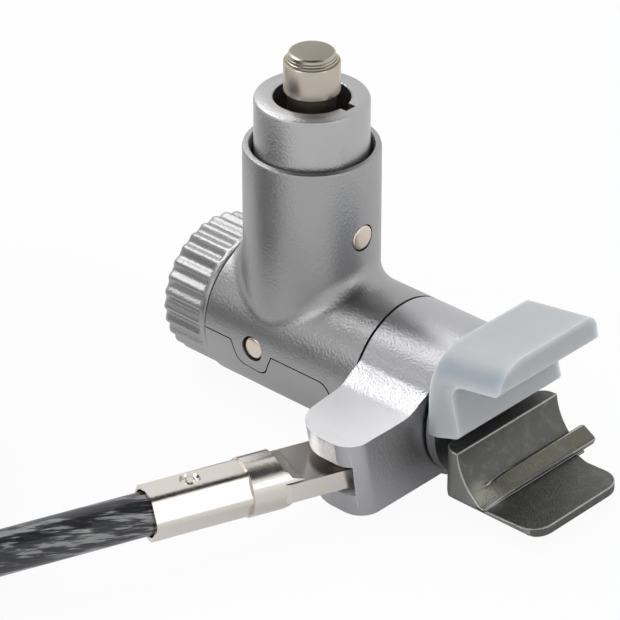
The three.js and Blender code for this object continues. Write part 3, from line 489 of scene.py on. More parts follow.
def turned(section, axis="x", sides=96, centre=(0, 0)):
    """A closed mesh turned round an axis from [place along it, radius] pairs; radius 0 closes an end."""
    verts, faces, rings = [], [], []
    for at, radius in section:
        count = 1 if radius == 0 else sides
        rings.append(range(len(verts), len(verts) + count))
        for k in range(count):
            angle = 2 * pi * k / sides
            verts.append(placed(axis, at, centre[0] + radius * cos(angle), centre[1] + radius * sin(angle)))
    loop = section[0][1] != 0
    for i in range(len(rings) if loop else len(rings) - 1):
        a, b = rings[i], rings[(i + 1) % len(rings)]
        for k in range(sides):
            corners = [a[k % len(a)], a[(k + 1) % len(a)], b[(k + 1) % len(b)], b[k % len(b)]]
            faces.append(tuple(dict.fromkeys(corners)))
    return mesh_of("turned", verts, faces)


def rod(start, end, radius, axis="x", sides=96, centre=(0, 0)):
    """A plain bar with flat ends."""
    return turned([(start, 0), (start, radius), (end, radius), (end, 0)], axis, sides, centre)


def plate(outline, axis, start, end):
    """An outline cut from plate: in y,z across x; in x,z across y; in x,y across z."""
    return lofted("plate", [[placed(axis, at, *point) for point in outline] for at in (start, end)])


def block(x0, x1, y0, y1, z0, z1):
    """A square block between two places on each axis."""
    return plate([(x0, y0), (x1, y0), (x1, y1), (x0, y1)], "z", z0, z1)


def arc(centre, radius, start, end, steps):
    """Points on a circle from one angle to another, in degrees."""
    turns = [radians(start + (end - start) * k / steps) for k in range(steps + 1)]
    return [(centre[0] + radius * cos(turn), centre[1] + radius * sin(turn)) for turn in turns]


def hexagon(radius):
    """The corners of a hexagon, the first on the first axis."""
    return arc((0, 0), radius, 0, 300, 5)


def worked(mesh, *steps):
    """A solid after steps of ("cut" | "join" | "keep", tool mesh)."""
    kinds = {"cut": "DIFFERENCE", "join": "UNION", "keep": "INTERSECT"}
    work = bpy.data.objects.new("work", mesh)
    objects = [work]
    for how, tool in steps:
        cutter = bpy.data.objects.new("tool", tool)
        objects.append(cutter)
        change = work.modifiers.new(how, "BOOLEAN")
        change.operation = kinds[how]
        change.solver = "MANIFOLD"
        change.object = cutter
    for item in objects:
        scene.collection.objects.link(item)
    bpy.context.view_layer.update()
    done = bpy.data.meshes.new_from_object(work.evaluated_get(bpy.context.evaluated_depsgraph_get()))
    for item in objects:
        bpy.data.objects.remove(item)
    shell = bmesh.new()
    shell.from_mesh(done)
    bmesh.ops.remove_doubles(shell, verts=shell.verts, dist=0.02)
    bmesh.ops.dissolve_limit(shell, angle_limit=radians(0.4), verts=shell.verts, edges=shell.edges)
    shell.to_mesh(done)
    shell.free()
    return done


def softened(piece, width, angle=40, segments=3, rim=None, clamped=True):
    """Breaks a piece's sharp edges by a small radius, in mm; the rim can have a finish of its own."""
    flat = piece.modifiers.new("flat_faces_cut_up", "TRIANGULATE")
    flat.quad_method, flat.ngon_method = "BEAUTY", "CLIP"
    flat.min_vertices = 5
    edge = piece.modifiers.new("broken_edges", "BEVEL")
    edge.width = width * MM
    edge.segments = segments
    edge.limit_method = "ANGLE"
    edge.angle_limit = radians(angle)
    edge.miter_outer = "MITER_ARC" if clamped else "MITER_SHARP"
    edge.use_clamp_overlap = clamped
    if rim:
        piece.data.materials.append(rim)
        edge.material = len(piece.data.materials) - 1
    shade = piece.modifiers.new("flat_faces_stay_flat", "WEIGHTED_NORMAL")
    shade.keep_sharp = True
    shade.weight = 80


def painted(piece, material, chosen):
    """Gives another finish to the faces that chosen(centre, normal) picks, both in head millimetres."""
    piece.data.materials.append(material)
    for face in piece.data.polygons:
        if chosen(face.center / MM - HEAD_CENTRE, face.normal):
            face.material_index = len(piece.data.materials) - 1


def end_fitting():
    """The terminal along its own axis x, from the pin at 0, made in the cable's axes."""
    tall = neck_radius + 1
    scoop = [(0.2, tall), (0, neck_radius - 0.25), (-0.35, neck_radius - 1.0), (-0.62, neck_radius - 1.06),
             (-0.9, neck_radius - 1.6), (-1.5, 1.28), (-2.3, tongue_half_thickness)]
    over = [(scoop_start + x, z) for x, z in scoop]
    under = [(x, -z) for x, z in reversed(over)]
    side = [(hex_start + 1, tall), *over, *under, (hex_start + 1, -tall)]
    neck = worked(rod(scoop_start - 2.6, hex_start + 0.4, neck_radius),
                  ("keep", plate(side, "y", -tall, tall)))
    half = tongue_half_width
    tongue = rounded([[-half, -half, 3.15], [scoop_start, -half, 0.6], [scoop_start, half, 0.6],
                      [-half, half, 3.15]], 16)
    crimp = plate(rounded([[*corner, 1.0] for corner in hexagon(hex_radius)]), "x", hex_start, fitting_length)
    mark = turned([(mark_floor, 0.5), (mark_floor, 0.85), (2.7, 1.1), (mark_top, 1.1), (mark_top, 0.32),
                   (2.7, 0.32)], "z", 48, mark_place)
    socket = turned([(fitting_length - socket_depth, 0), (fitting_length - socket_depth, socket_radius),
                     (fitting_length - 0.3, socket_radius),
                     (fitting_length + 0.1, 2.5), (fitting_length + 1, 2.5), (fitting_length + 1, 0)])
    return worked(plate(tongue, "z", -tongue_half_thickness, tongue_half_thickness),
                  ("join", neck), ("join", crimp), ("cut", mark), ("cut", socket),
                  ("cut", rod(-2, 2, lug_pin_radius + clearance, "z", 48)))


fitting_mesh = end_fitting()
turn_to_cable = Matrix.Rotation(radians(-90 - cable_yaw), 4, "Z")
fitting_mesh.transform(Matrix.Translation((*lug_pin_place, cable_axis_height)) @ turn_to_cable)
fitting = place_piece("cable_end_terminal", fitting_mesh,
                      nickel_plate("nickel_plate_on_forged_steel", 0.28, 0.19),
                      "cable", ["cable_end_fitting"])
softened(fitting, 0.14, 30)

# ---------------------------------------------------------------- swivel collar and lug
# A zinc casting that turns on the barrel's spigot, with a lug slotted for the cable's eye. It is bead blasted
# and satin plated; the lug's top has a painted highlight, and a bright line runs round its broken edges.
barrel_radius = 7.8
collar_back, collar_front = 12.73, 21.71
lug_end = -18.1
lug_draft = 1.9
lug_top, lug_bottom = 2.5, -6.35
slot_floor, slot_roof = -3.8, -0.15
slot_right, slot_inside, slot_flare = 20.82, -10.6, -16.2
spigot_radius = 5.7


def mixed(tree, share, first, second):
    """Two colours, mixed by a share of the second."""
    return add(tree, "Mix", {"data_type": "RGBA"}, {"Factor": share, 6: first, 7: second}).outputs[2]


def bead_blasted(name, tint, grit, roughness, painted_highlight=None):
    """Satin silver metal: wide soft highlights broken up by the bead marks, which sparkle a little. With
    `painted_highlight` the sides that face up get it as a painted highlight, away from the barrel's own top."""
    material, tree = new_material(name)
    clouds = noise(tree, 20 * grit, 1.0)
    colour, bare_metal = linear(tint), 1.0
    # painted highlight: sides that face up, off the barrel's top, get the brighter colour and less metal
    if painted_highlight:
        up = parts(tree, add(tree, "TexCoord").outputs["Normal"])[2]
        across = parts(tree, object_place(tree))[1]
        share = maths(tree, "MULTIPLY", ranged(tree, up, 0.8, 0.98, 0.0, 1.0, "SMOOTHSTEP"),
                      ranged(tree, across, spot(0, -7.5, 0).y, spot(0, -5, 0).y, 1.0, 0.0))
        colour = mixed(tree, share, linear(tint), linear(painted_highlight))
        bare_metal = ranged(tree, share, 0, 1, 1.0, 0.45)
    return finished(material, {
        "Base Color": colour, "Metallic": bare_metal,
        "Roughness": ranged(tree, clouds, 0.3, 0.7, roughness - 0.02, roughness + 0.02),
        "Normal": bump(tree, noise(tree, grit, 1.0), 0.6, 0.06)})


def curve(points, steps):
    """A smooth line through points, by Catmull and Rom's rule."""
    guides = [points[0], *points, points[-1]]
    line = []
    for i in range(1, len(guides) - 2):
        a, b, c, d = (Vector(p) for p in guides[i - 1:i + 3])
        for k in range(steps):
            t = k / steps
            line.append(0.5 * (2 * b + (c - a) * t + (2 * a - 5 * b + 4 * c - d) * t * t
                               + (3 * b - a - 3 * c + d) * t ** 3))
    return [*line, Vector(points[-1])]


def collar_and_lug():
    """The ring and its lug from the side, cut to the lug's leaning plan, then bored and slotted."""
    blend = curve([(-11.6, lug_top), (-9.9, 2.58), (-8.9, 2.9), (-7.8, 3.5), (-6.8, 4.05), (-5.95, 5.043)], 6)
    ring = arc((0, 0), barrel_radius, 139.7, -125.6, 150)
    side = [(lug_end - 1, lug_bottom), (lug_end - 1, lug_top), *blend, *ring[1:], (-4.53, lug_bottom)]
    plan = rounded([[collar_back, 9], [collar_back, -barrel_radius], [collar_back + 1.0, lug_end, 4.4],
                    [collar_front, lug_end, 2.3], [collar_front, 9]], 18)
    leaning = plate(plan, "z", -9, 9)
    lean = lug_draft / (lug_top - lug_bottom)
    for vertex in leaning.vertices:
        vertex.co.y += lean * (lug_top - vertex.co.z)
    open_left, open_near = 10, -22
    slot = rounded([[open_left, open_near], [slot_right + 1.3, open_near], [slot_right, slot_flare],
                    [slot_right, slot_inside, 2.6], [open_left, slot_inside]], 12)
    return worked(plate(side, "x", collar_back, collar_front), ("keep", leaning),
                  ("cut", rod(collar_back - 1, collar_front + 1, spigot_radius + clearance)),
                  ("cut", plate(slot, "z", slot_floor, slot_roof)),
                  ("cut", rod(lug_bottom - 1, lug_top - 1.6, lug_pin_radius + 0.12, "z", 48, lug_pin_place)))


# the lug's up-facing top gets a painted highlight in a near white
collar = place_piece("swivel_collar_lug", collar_and_lug(),
                     bead_blasted("bead_blasted_collar", "#b4b4b7", 0.24, 0.38, "#f4f4f6"),
                     "collar", ["swivel_collar"])
softened(collar, 0.3, rim=bead_blasted("rubbed_bright_edge", "#dededf", 0.22, 0.32))

# ---------------------------------------------------------------- housing
# One zinc casting: the barrel, the upright tube for the lock cylinder and the fillet rolled between them,
# bead blasted and satin plated like the collar but greyer.
tube_radius, tube_top, tube_bore, tube_floor = 7.0, 21.25, 6.15, 7.4
fillet_radius = 2.3
housing_back, housing_front = -7.65, 12.43
barrel_bore, barrel_bore_end, screw_bore = 6.0, 4.55, 4.2
bolt_hole_radius, bolt_hole_place = 1.3, (2.25, 0)
shaft_pin_place, shaft_pin_radius = (-1.1, 0.15), 1.2
cylinder_pin_height, cylinder_pin_radius = 13.0, 1.35
cover_front = 10.4
seam_place, seam_width = 0.1, 0.13
cover_corners = [(-8.65, -9), (9.4, -9), (9.4, 0, 1.5), (1.65, 0), (0.4, -2.8, 1.5), (-3.25, -2.4, 1.2),
                 (-4.15, 0, 0.3), (-8.65, 0)]


def grown(corners, by):
    """An outline of corners with every side moved out by a distance, its roundings kept."""
    moved = []
    for i, corner in enumerate(corners):
        sides = []
        for a, b in ((corners[i - 1], corner), (corner, corners[(i + 1) % len(corners)])):
            run = (Vector(b[:2]) - Vector(a[:2])).normalized()
            sides.append(Vector((run.y, -run.x)))
        out = sides[0] + sides[1]
        moved.append((*(Vector(corner[:2]) + out * by / (1 + sides[0].dot(sides[1]))), *corner[2:]))
    return moved


def casting_skin():
    """Barrel, tube and fillet as one grid that runs down the tube, round the fillet and over the barrel."""
    sides, fillet_steps, barrel_steps = 192, 14, 30
    reach = barrel_radius + fillet_radius
    back = -14.0
    mid, half = (back + housing_front) / 2, (housing_front - back) / 2
    lines = []
    for k in range(sides):
        angle = 2 * pi * k / sides
        c, s = cos(angle), sin(angle)
        out = Vector((c, s, 0))
        line = [out * (tube_radius - 0.3) + Vector((0, 0, tube_top)),
                out * (tube_radius - 0.08) + Vector((0, 0, tube_top - 0.06)),
                out * tube_radius + Vector((0, 0, tube_top - 0.3))]
        centre = out * (tube_radius + fillet_radius)
        centre.z = sqrt(reach ** 2 - centre.y ** 2)
        to_barrel = Vector((0, -centre.y, -centre.z)) / reach
        sweep = (-out).angle(to_barrel)
        for i in range(fillet_steps + 1):
            share = i / fillet_steps
            line.append(centre + (-out * sin((1 - share) * sweep) + to_barrel * sin(share * sweep))
                        * fillet_radius / sin(sweep))
        foot = line[-1]
        foot_turn = atan2(foot.y, foot.z)
        square = max(abs(c), abs(s))
        end_x, end_turn = mid + half * c / square, pi * s / square
        for i in range(1, barrel_steps + 1):
            share = i / barrel_steps
            turn = foot_turn + (end_turn - foot_turn) * share
            line.append(Vector((foot.x + (end_x - foot.x) * share, barrel_radius * sin(turn),
                                barrel_radius * cos(turn))))
        lines.append(line)
    rings = list(zip(*lines))
    last, eighth = (len(rings) - 1) * sides, sides // 8
    top = tuple(range(sides))
    front = tuple(last + k % sides for k in range(-eighth, eighth))
    rear = tuple(last + k for k in range(3 * eighth, 5 * eighth))
    return mesh_of("casting_skin", [p for ring in rings for p in ring],
                   [*wall(len(rings), sides), top, front, rear])


def cover_zone(by):
    """The lower cover's side view, reaching through the barrel."""
    return plate(rounded(grown(cover_corners, by)), "y", -10, 10)


def housing_casting():
    """The skin, cut off square at the back, with its spigot, bores, pin holes and the cover's recess."""
    outer, inner = barrel_radius + 1, barrel_bore - 0.3
    recess = turned([(housing_back - 1, outer), (cover_front + 0.1, outer), (cover_front + 0.1, inner),
                     (housing_back - 1, inner)], sides=128)
    tube_hollow = turned([(tube_floor, 0), (tube_floor, tube_bore), (tube_top - 0.35, tube_bore),
                          (tube_top + 0.1, tube_bore + 0.3), (tube_top + 1, tube_bore + 0.3),
                          (tube_top + 1, 0)], "z", 128)
    return worked(
        casting_skin(), ("cut", block(-20, housing_back, -12, 12, -12, 30)),
        ("join", rod(housing_front - 3, collar_front, spigot_radius)), ("cut", tube_hollow),
        ("cut", rod(housing_back - 1, barrel_bore_end, barrel_bore, sides=128)),
        ("cut", rod(3.5, collar_front + 1, screw_bore, sides=64)),
        ("cut", rod(0, 8.4, bolt_hole_radius, "z", 32, bolt_hole_place)),
        ("cut", worked(recess, ("keep", cover_zone(seam_place + seam_width)))),
        ("cut", rod(0, 9, cylinder_pin_radius + 0.1, "x", 48, (0, cylinder_pin_height))),
        ("cut", rod(-9, 0, shaft_pin_radius + 0.17, "y", 48, shaft_pin_place)))


housing_finish = bead_blasted("bead_blasted_housing", "#a2a2a3", 0.24, 0.39)
place_piece("housing_casting", housing_casting(), housing_finish, "head", ["body_housing"])

# ---------------------------------------------------------------- barrel cover
# A curved zinc shell let into the underside of the barrel, over the screw and its bush. Its edge runs just
# below the middle of the barrel and dips round the lobe that holds the screw's retaining pin.
cover_shell = turned([(housing_back, barrel_radius), (cover_front, barrel_radius),
                      (cover_front, barrel_bore + 0.1), (housing_back, barrel_bore + 0.1)], sides=192)
place_piece("barrel_cover_shell", worked(cover_shell, ("keep", cover_zone(seam_place))),
            housing_finish,
            "head", ["barrel_cover"])

# ---------------------------------------------------------------- retaining pins
# Nickel plated steel pins pressed in from outside, their ends rounded off and a little proud or sunk.
pin_nickel = nickel_plate("nickel_plate_on_pin", 0.2, 0.24, "#d9ccc0")


def pin(name, start, end, radius, axis, centre, body, node):
    """A short pin with a softly rounded outer end, at `end`."""
    inwards = 0.22 if end > start else -0.22
    section = [(start, 0), (start, radius - 0.05), (end - inwards, radius),
               (end - inwards * 0.3, radius - 0.07),
               (end, radius - 0.25), (end, 0)]
    return place_piece(name, turned(section, axis, 48, centre), pin_nickel, body, [node], 50)


pin("screw_pin", -5.4, -7.62, shaft_pin_radius, "y", shaft_pin_place, "head", "shaft_retaining_pin")
pin("cylinder_pin", 5.45, 6.98, cylinder_pin_radius, "x", (0, cylinder_pin_height), "head",
    "cylinder_retaining_pin")
pin("lug_swivel_pin", lug_top - 1.9, lug_bottom + 0.06, lug_pin_radius, "z", lug_pin_place, "collar",
    "lug_pin")

# ---------------------------------------------------------------- knob
# A turned zinc knob with 28 shallow flutes milled along it, which run out at a plain band by the housing. A
# flat cap closes its end over the screw that holds it to the drive screw's hexagon.
knob_back, knob_front = -14.06, -7.95
knob_radius = 7.62
flute_count, flute_depth = 28, 0.42
cap_radius, cap_seat = 5.3, -12.56
drive_hexagon, drive_end = 2.85, -10.36
axle = HEAD_CENTRE * MM


def fluted_knob():
    """The knob from its cap end to the housing, hollowed for the cap, the screw's head and the hexagon."""
    steps_per_flute = 12
    # each station: its place along the axis, how far the radius draws in, its share of the flutes' depth
    stations = [(knob_back, 0.62, 0.3), (knob_back + 0.05, 0.42, 0.5), (knob_back + 0.18, 0.2, 0.75),
                (knob_back + 0.4, 0.05, 0.95), (knob_back + 0.7, 0, 1), (knob_front - 1.15, 0, 1),
                (knob_front - 0.95, 0, 0.9), (knob_front - 0.8, 0, 0.45), (knob_front - 0.68, 0, 0.08),
                (knob_front - 0.6, 0, 0), (knob_front - 0.16, 0, 0), (knob_front - 0.04, 0.05, 0),
                (knob_front, 0.16, 0)]
    rings = []
    for x, shrink, share in stations:
        ring = []
        for k in range(flute_count * steps_per_flute):
            angle = 2 * pi * k / (flute_count * steps_per_flute)
            hollow = sin(pi * k / steps_per_flute) ** 2
            radius = knob_radius - shrink - flute_depth * share * hollow
            ring.append((x, radius * cos(angle), radius * sin(angle)))
        rings.append(ring)
    return worked(lofted("fluted_knob", rings), ("cut", rod(knob_back - 1, cap_seat, cap_radius + 0.15)),
                  ("cut", rod(knob_back, cap_seat + 1.0, 2.3, sides=48)),
                  ("cut", rod(knob_back, knob_front + 1, 1.3, sides=32)),
                  ("cut", plate(hexagon(drive_hexagon), "x", drive_end, knob_front + 1)))


def turned_satin(name, tint, across, spacing=0.22):
    """Lathe-cut metal: fine rings round the axis, spaced by the tool's feed, that draw the highlight out.
    `across` is 1 on the two axes that the rings lie across and 0 on the one they go round."""
    material, tree = new_material(name)
    place = add(tree, "Mapping", sockets={"Vector": object_place(tree), "Location": -axle})
    flat = add(tree, "VectorMath", {"operation": "MULTIPLY"}, {0: place, 1: across})
    out = add(tree, "VectorMath", {"operation": "LENGTH"}, {0: flat}).outputs["Value"]
    rings = add(tree, "TexNoise", {"noise_dimensions": "1D"}, {"W": out, "Scale": 1 / (spacing * MM)})
    return finished(material, {
        "Base Color": linear(tint), "Metallic": 1.0, "Roughness": 0.3,
        "Normal": bump(tree, rings, 0.35, 0.03)})


knob_finish = bead_blasted("bead_blasted_knob", "#a2a2a3", 0.22, 0.4)
place_piece("fluted_thumb_knob", fluted_knob(), knob_finish, "knob", ["thumb_knob"], 50)
cap = turned([(cap_seat - 0.6, 0), (cap_seat - 0.6, cap_radius - 0.25), (cap_seat - 0.85, cap_radius),
              (knob_back + 0.35, cap_radius), (knob_back + 0.12, cap_radius - 0.22),
              (knob_back + 0.08, cap_radius - 0.45), (knob_back + 0.3, cap_radius - 0.75),
              (knob_back + 0.3, 0)])
place_piece("knob_end_cap", cap, turned_satin("faced_satin_zinc", "#b1b1b3", (0, 1, 1)), "knob",
            ["knob_cap"])

# ---------------------------------------------------------------- screw, bush and other hidden works
# Plain machined parts that the castings hide: the drive screw with its bush, washer, wheel, clip and dowels,
# the jaw's stem, the lock's bolt, and a rubber ring. Each keeps its frame shape and only gets its finish.


def machined(name, tint, metallic, roughness):
    """As machined: a dull skin with faint crossing tool marks and a little oil staining."""
    material, tree = new_material(name)
    stained = tuple(0.7 * c for c in linear(tint)[:3]) + (1,)
    return finished(material, {
        "Base Color": mixed(tree, noise(tree, 3), linear(tint), stained), "Metallic": metallic,
        "Roughness": roughness, "Normal": bump(tree, noise(tree, 0.15, 3.0), 0.25, 0.02)})


inner_finishes = {
    machined("hardened_steel_as_turned", "#8f9194", 1.0, 0.35): [
        "knob_screw", "drive_screw", "locking_wheel", "screw_clip", "jaw_dowel_near", "jaw_dowel_far",
        "stem_dowel", "bolt_carrier", "lock_bolt"],
    machined("bearing_bronze", "#a98650", 1.0, 0.4): ["screw_bush", "thrust_washer"],
    machined("black_oxide_on_steel", "#1c1c1d", 0.4, 0.5): ["jaw_stem"],
    machined("moulded_nitrile_rubber", "#1d1d1f", 0.0, 0.75): ["friction_ring"],
}
for finish, nodes in inner_finishes.items():
    for node in nodes:
        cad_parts[node].data.materials.clear()
        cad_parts[node].data.materials.append(finish)

# ---------------------------------------------------------------- moving jaw
# A hardened steel casting with gunmetal plating, rubbed pale on its edges: a block that carries a hollow
# seat, a raised rib along the seat's foot that runs out past the far side, and a thin lip in front.
jaw_back, jaw_bottom, jaw_half_width = 24.3, -6.4, 7.65
rim_top, rim_front = -0.63, 26.34
seat_foot, seat_radius = (28.2, -4.5), 6.4
fold_x, fold_z = 30.3, -5.6
lip_front, lip_front_top, lip_far = 36.6, -5.35, 5.95
rib_near, rib_far, rib_back, rib_front = -7.7, 9.45, 27, 30.12
stem_hole = (jaw_back - 1, 25.9, -2.5, 2.5, -3.9, -1.2)
# the middle of the painted highlight on the rib's near end
painted_highlight_place = spot(29.1, -6.3, -5.2)


def distance_from(tree, place):
    """How far a point of the piece lies from a place, in metres."""
    apart = add(tree, "VectorMath", {"operation": "DISTANCE"}, {0: object_place(tree), 1: place})
    return apart.outputs["Value"]


def gunmetal_plate(name, tint, worn_and_highlight, roughness):
    """Dark plated steel: a satin grey with cast grain that sparkles, thin spots in clouds where use has
    thinned the plating, and a painted highlight on the rib's near end, where its rounded ramp faces the
    light."""
    material, tree = new_material(name)
    thin = ranged(tree, noise(tree, 1.2, 5.0, 0.7), 0.5, 0.8, 0.0, 0.3)
    # painted highlight: a pale spot on the rib's near end, mixed in with the plating's thin spots
    rib_highlight = ranged(tree, distance_from(tree, painted_highlight_place), 0.4 * MM, 2.6 * MM, 1.0, 0.0, "SMOOTHSTEP")
    thinned_and_highlit = maths(tree, "MAXIMUM", thin, rib_highlight)
    return finished(material, {
        "Base Color": mixed(tree, thinned_and_highlit, linear(tint), linear(worn_and_highlight)), "Metallic": 1.0, "Roughness": roughness,
        "Normal": bump(tree, noise(tree, 0.22, 4.0, 0.65), 0.7, 0.1)})


def jaw_rib():
    """The rib along the seat's foot: it rises in a scoop from the near side and runs out past the far one."""
    # each station: its place across the jaw, and how far the top has risen from its low line to its high one
    stations = [(rib_near, 0.0), (-7.0, 0.1), (-6.0, 0.3), (-5.0, 0.52), (-4.0, 0.73), (-3.0, 0.88),
                (-2.0, 0.96), (-1.0, 1.0), (rib_far - 0.35, 1.0), (rib_far, 0.85)]
    low = [(27.9, -4.8), (28.5, -5.05), (29.4, -5.45), (29.95, -5.66)]
    high = [(28.1, -4.3), (28.5, -4.05), (29.9, -4.88), (30.1, -5.2)]
    foot = [(29.75, -5.95), (27.8, -5.95)]
    rings = []
    for y, rise in stations:
        top = [Vector(a).lerp(Vector(b), rise) for a, b in zip(low, high)]
        rings.append([(p[0], y, p[1]) for p in [*top, *foot]])
    return lofted("jaw_rib", rings)


def jaw_casting():
    """The side view and the rib, kept within the plan, the front view and the underside's curve."""
    rim, foot = Vector((rim_front, rim_top)), Vector(seat_foot)
    chord, half = foot - rim, jaw_half_width
    middle = (rim + foot) / 2 + Vector((-chord.y, chord.x)).normalized() * sqrt(
        seat_radius ** 2 - chord.length_squared / 4)
    start = degrees(atan2(rim.y - middle.y, rim.x - middle.x)) % 360
    end = degrees(atan2(foot.y - middle.y, foot.x - middle.x)) % 360
    side = [(jaw_back, jaw_bottom), (jaw_back, rim_top), *arc(middle, seat_radius, start, end, 16),
            (fold_x - 0.5, fold_z - 0.15), (fold_x, fold_z), (lip_front, lip_front_top),
            (lip_front, jaw_bottom)]
    plan = rounded([[jaw_back, -half, 1.6], [lip_front, -half, 2.4], [lip_front, lip_far, 2.4],
                    [fold_x + 1.5, lip_far, 1.4], [fold_x - 0.4, lip_far + 0.6], [fold_x - 1.0, half],
                    [jaw_back, half, 1.6]])
    front_view = rounded([[-half, 1], [-half, jaw_bottom, 0.9], [half, jaw_bottom, 0.9], [half, 1]], 5)
    under = rounded([[jaw_back, 1], [jaw_back, jaw_bottom, 1.9], [lip_front, jaw_bottom], [lip_front, 1]], 6)
    rib_end = block(rib_back, rib_front, 0, rib_far + 1, -6.0, 0)
    return worked(
        plate(side, "y", -half, half), ("join", jaw_rib()),
        ("keep", worked(plate(plan, "z", -8, 1), ("join", rib_end))),
        ("keep", worked(plate(front_view, "x", 20, 40), ("join", rib_end))),
        ("keep", plate(under, "y", -9, rib_far + 1)), ("cut", block(*stem_hole)))


jaw = place_piece("hooked_jaw", jaw_casting(),
                  gunmetal_plate("gunmetal_plate_on_steel", "#646462", "#a8a8a4", 0.46),
                  "clamp", ["clamp_jaw"])
painted(jaw, gunmetal_plate("gunmetal_rubbed_on_its_sides", "#90908e", "#a8a8a6", 0.45),
        lambda centre, normal: abs(normal.y) > 0.8 and abs(centre.y) > 7.2)
painted(jaw, gunmetal_plate("gunmetal_rubbed_on_the_rib", "#6f6e64", "#a8a79c", 0.42),
        lambda centre, normal: 28.3 < centre.x < 30.1 and centre.z > -5.3 and normal.z > 0.6)
softened(jaw, 0.12, 35, 2, clamped=False,
         rim=gunmetal_plate("gunmetal_worn_through_on_edges", "#a6a6a2", "#cacac6", 0.34))

# ---------------------------------------------------------------- fixed jaw and its boot
# The fixed jaw is a zinc casting, a flange with a hooked claw. A boot of milky silicone is stretched over the
# claw so that it grips without marking; a painted shade runs along the claw's upper near edge, and a painted
# highlight along the boot's rounded edges.
flange_back, flange_front, flange_radius = 22.01, 23.1, 7.3
boot_back, boot_bottom = 22.7, 0.3
boot_half_width, boot_wall = 7.75, 0.7
boot_top, boot_tilt = 9.2, 8.9
claw_inset, claw_back = boot_wall + clearance, 22.6
claw_corners = [(23.8, boot_bottom, 0.4), (26.75, 1.3, 0.5), (25.3, 6.7, 1.2), (31.2, 7.7, 0.5), (30.5, 12)]
stem_way = (flange_back - 1, 24.2, -3.6, 3.6, -4.2, 0.3)
claw_edge = spot(25, -6.9, 8.35)


def milky_silicone(name, tint, shade):
    """Translucent milky silicone: light sinks in and comes out soft, with a cooler painted shade along the
    claw.
    """
    material, tree = new_material(name)
    x, y, z = parts(tree, object_place(tree))
    # painted shade: a soft darker line along the claw's upper near edge, for the overhang's shadow and the
    # claw under the silicone; it rises with the top face
    rise = tan(radians(boot_tilt))
    level = maths(tree, "MULTIPLY_ADD", x, -rise, rise * claw_edge.x - claw_edge.z)
    above, beside = maths(tree, "ADD", z, level), maths(tree, "SUBTRACT", y, claw_edge.y)
    off = add(tree, "CombineXYZ", sockets={0: beside, 1: above})
    distance = add(tree, "VectorMath", {"operation": "LENGTH"}, {0: off}).outputs["Value"]
    painted_claw_shade = ranged(tree, distance, 0.3 * MM, 1.9 * MM, 0.75, 0.0, "SMOOTHSTEP")
    cloud_and_painted_shade = maths(tree, "MULTIPLY_ADD", noise(tree, 4), 0.3, painted_claw_shade)
    return finished(material, {
        "Base Color": mixed(tree, cloud_and_painted_shade, linear(tint), linear(shade)), "Roughness": 0.5, "IOR": 1.41,
        "Subsurface Weight": 1.0, "Subsurface Radius": (1.0, 1.0, 1.0), "Subsurface Scale": 2.5 * MM,
        "Normal": bump(tree, noise(tree, 0.3), 0.12, 0.03)})


def claw(by, back):
    """The claw as its boot's outer shape, or shrunk all round by a distance, from a plane at the back."""
    corners = [(back - by, boot_bottom), *claw_corners, (back - by, 12)]
    half, reach = boot_half_width - by, 17
    side = plate(rounded(grown(corners, -by), 6), "y", -half, half)
    front_view = [[-half, -reach], [half, -reach], [half, -by, 1.3 - by / 2], [-half, -by, 4.5 - by]]
    front = plate(rounded(front_view, 14), "x", back - boot_back - 3, 14)
    tilt = Matrix.Rotation(radians(-boot_tilt), 4, "Y")
    front.transform(Matrix.Translation((boot_back, 0, boot_top)) @ tilt)
    return worked(side, ("keep", front))


jaw_claw = worked(rod(flange_back, flange_front, flange_radius), ("join", claw(claw_inset, claw_back)),
                  ("cut", block(*stem_way)))
fixed_jaw = place_piece("fixed_jaw_claw", jaw_claw, housing_finish, "head", ["upper_jaw"])
softened(fixed_jaw, 0.15, segments=2)
boot_shell = worked(claw(0, boot_back), ("cut", claw(boot_wall, boot_back - 3)),
                    ("cut", rod(flange_back, flange_front + 0.3, flange_radius + 0.25)))
# its second colour is a painted shade along the claw's upper near edge
boot = place_piece("silicone_boot", boot_shell,
                   milky_silicone("moulded_milky_silicone", "#bcbec0", "#9ea8b1"),
                   "head", ["jaw_boot"])
# the boot's rounded edges are painted lighter, a painted highlight
softened(boot, 0.4, 30, 4, milky_silicone("milky_silicone_painted_light_edges", "#cbcdce", "#b0b8bf"))

# ---------------------------------------------------------------- lock cylinder
# The turned sleeve slides down the tube to lock. The key's round post stands in its hole, bright nickel, with
# rings turned on its top, and a notch beside the hole takes the key's tooth.
sleeve_radius, sleeve_top, sleeve_foot = 5.85, 26.62, 10.9
key_hole_radius, key_hole_floor, chamber_radius = 3.91, 21.3, 4.5
notch_reach, notch_width, notch_middle = 4.77, 1.4, 0.5
press_travel = 2.8
# the post from its foot up, as heights and radii: root, neck, head, and the small steps round its top
post_steps = [
    (14.7, 0), (14.7, 4.2), (21.0, 4.2), (21.0, 2.45), (27.17, 2.45), (27.17, 2.72), (27.36, 2.87),
    (30.46, 2.87), (30.57, 2.8), (30.6, 2.62), (30.78, 2.62), (30.84, 2.54), (30.84, 2.46), (31.04, 2.46),
    (31.1, 2.4), (31.1, 2.35), (31.42, 2.35), (31.53, 2.22), (31.57, 2.03), (31.57, 0)]


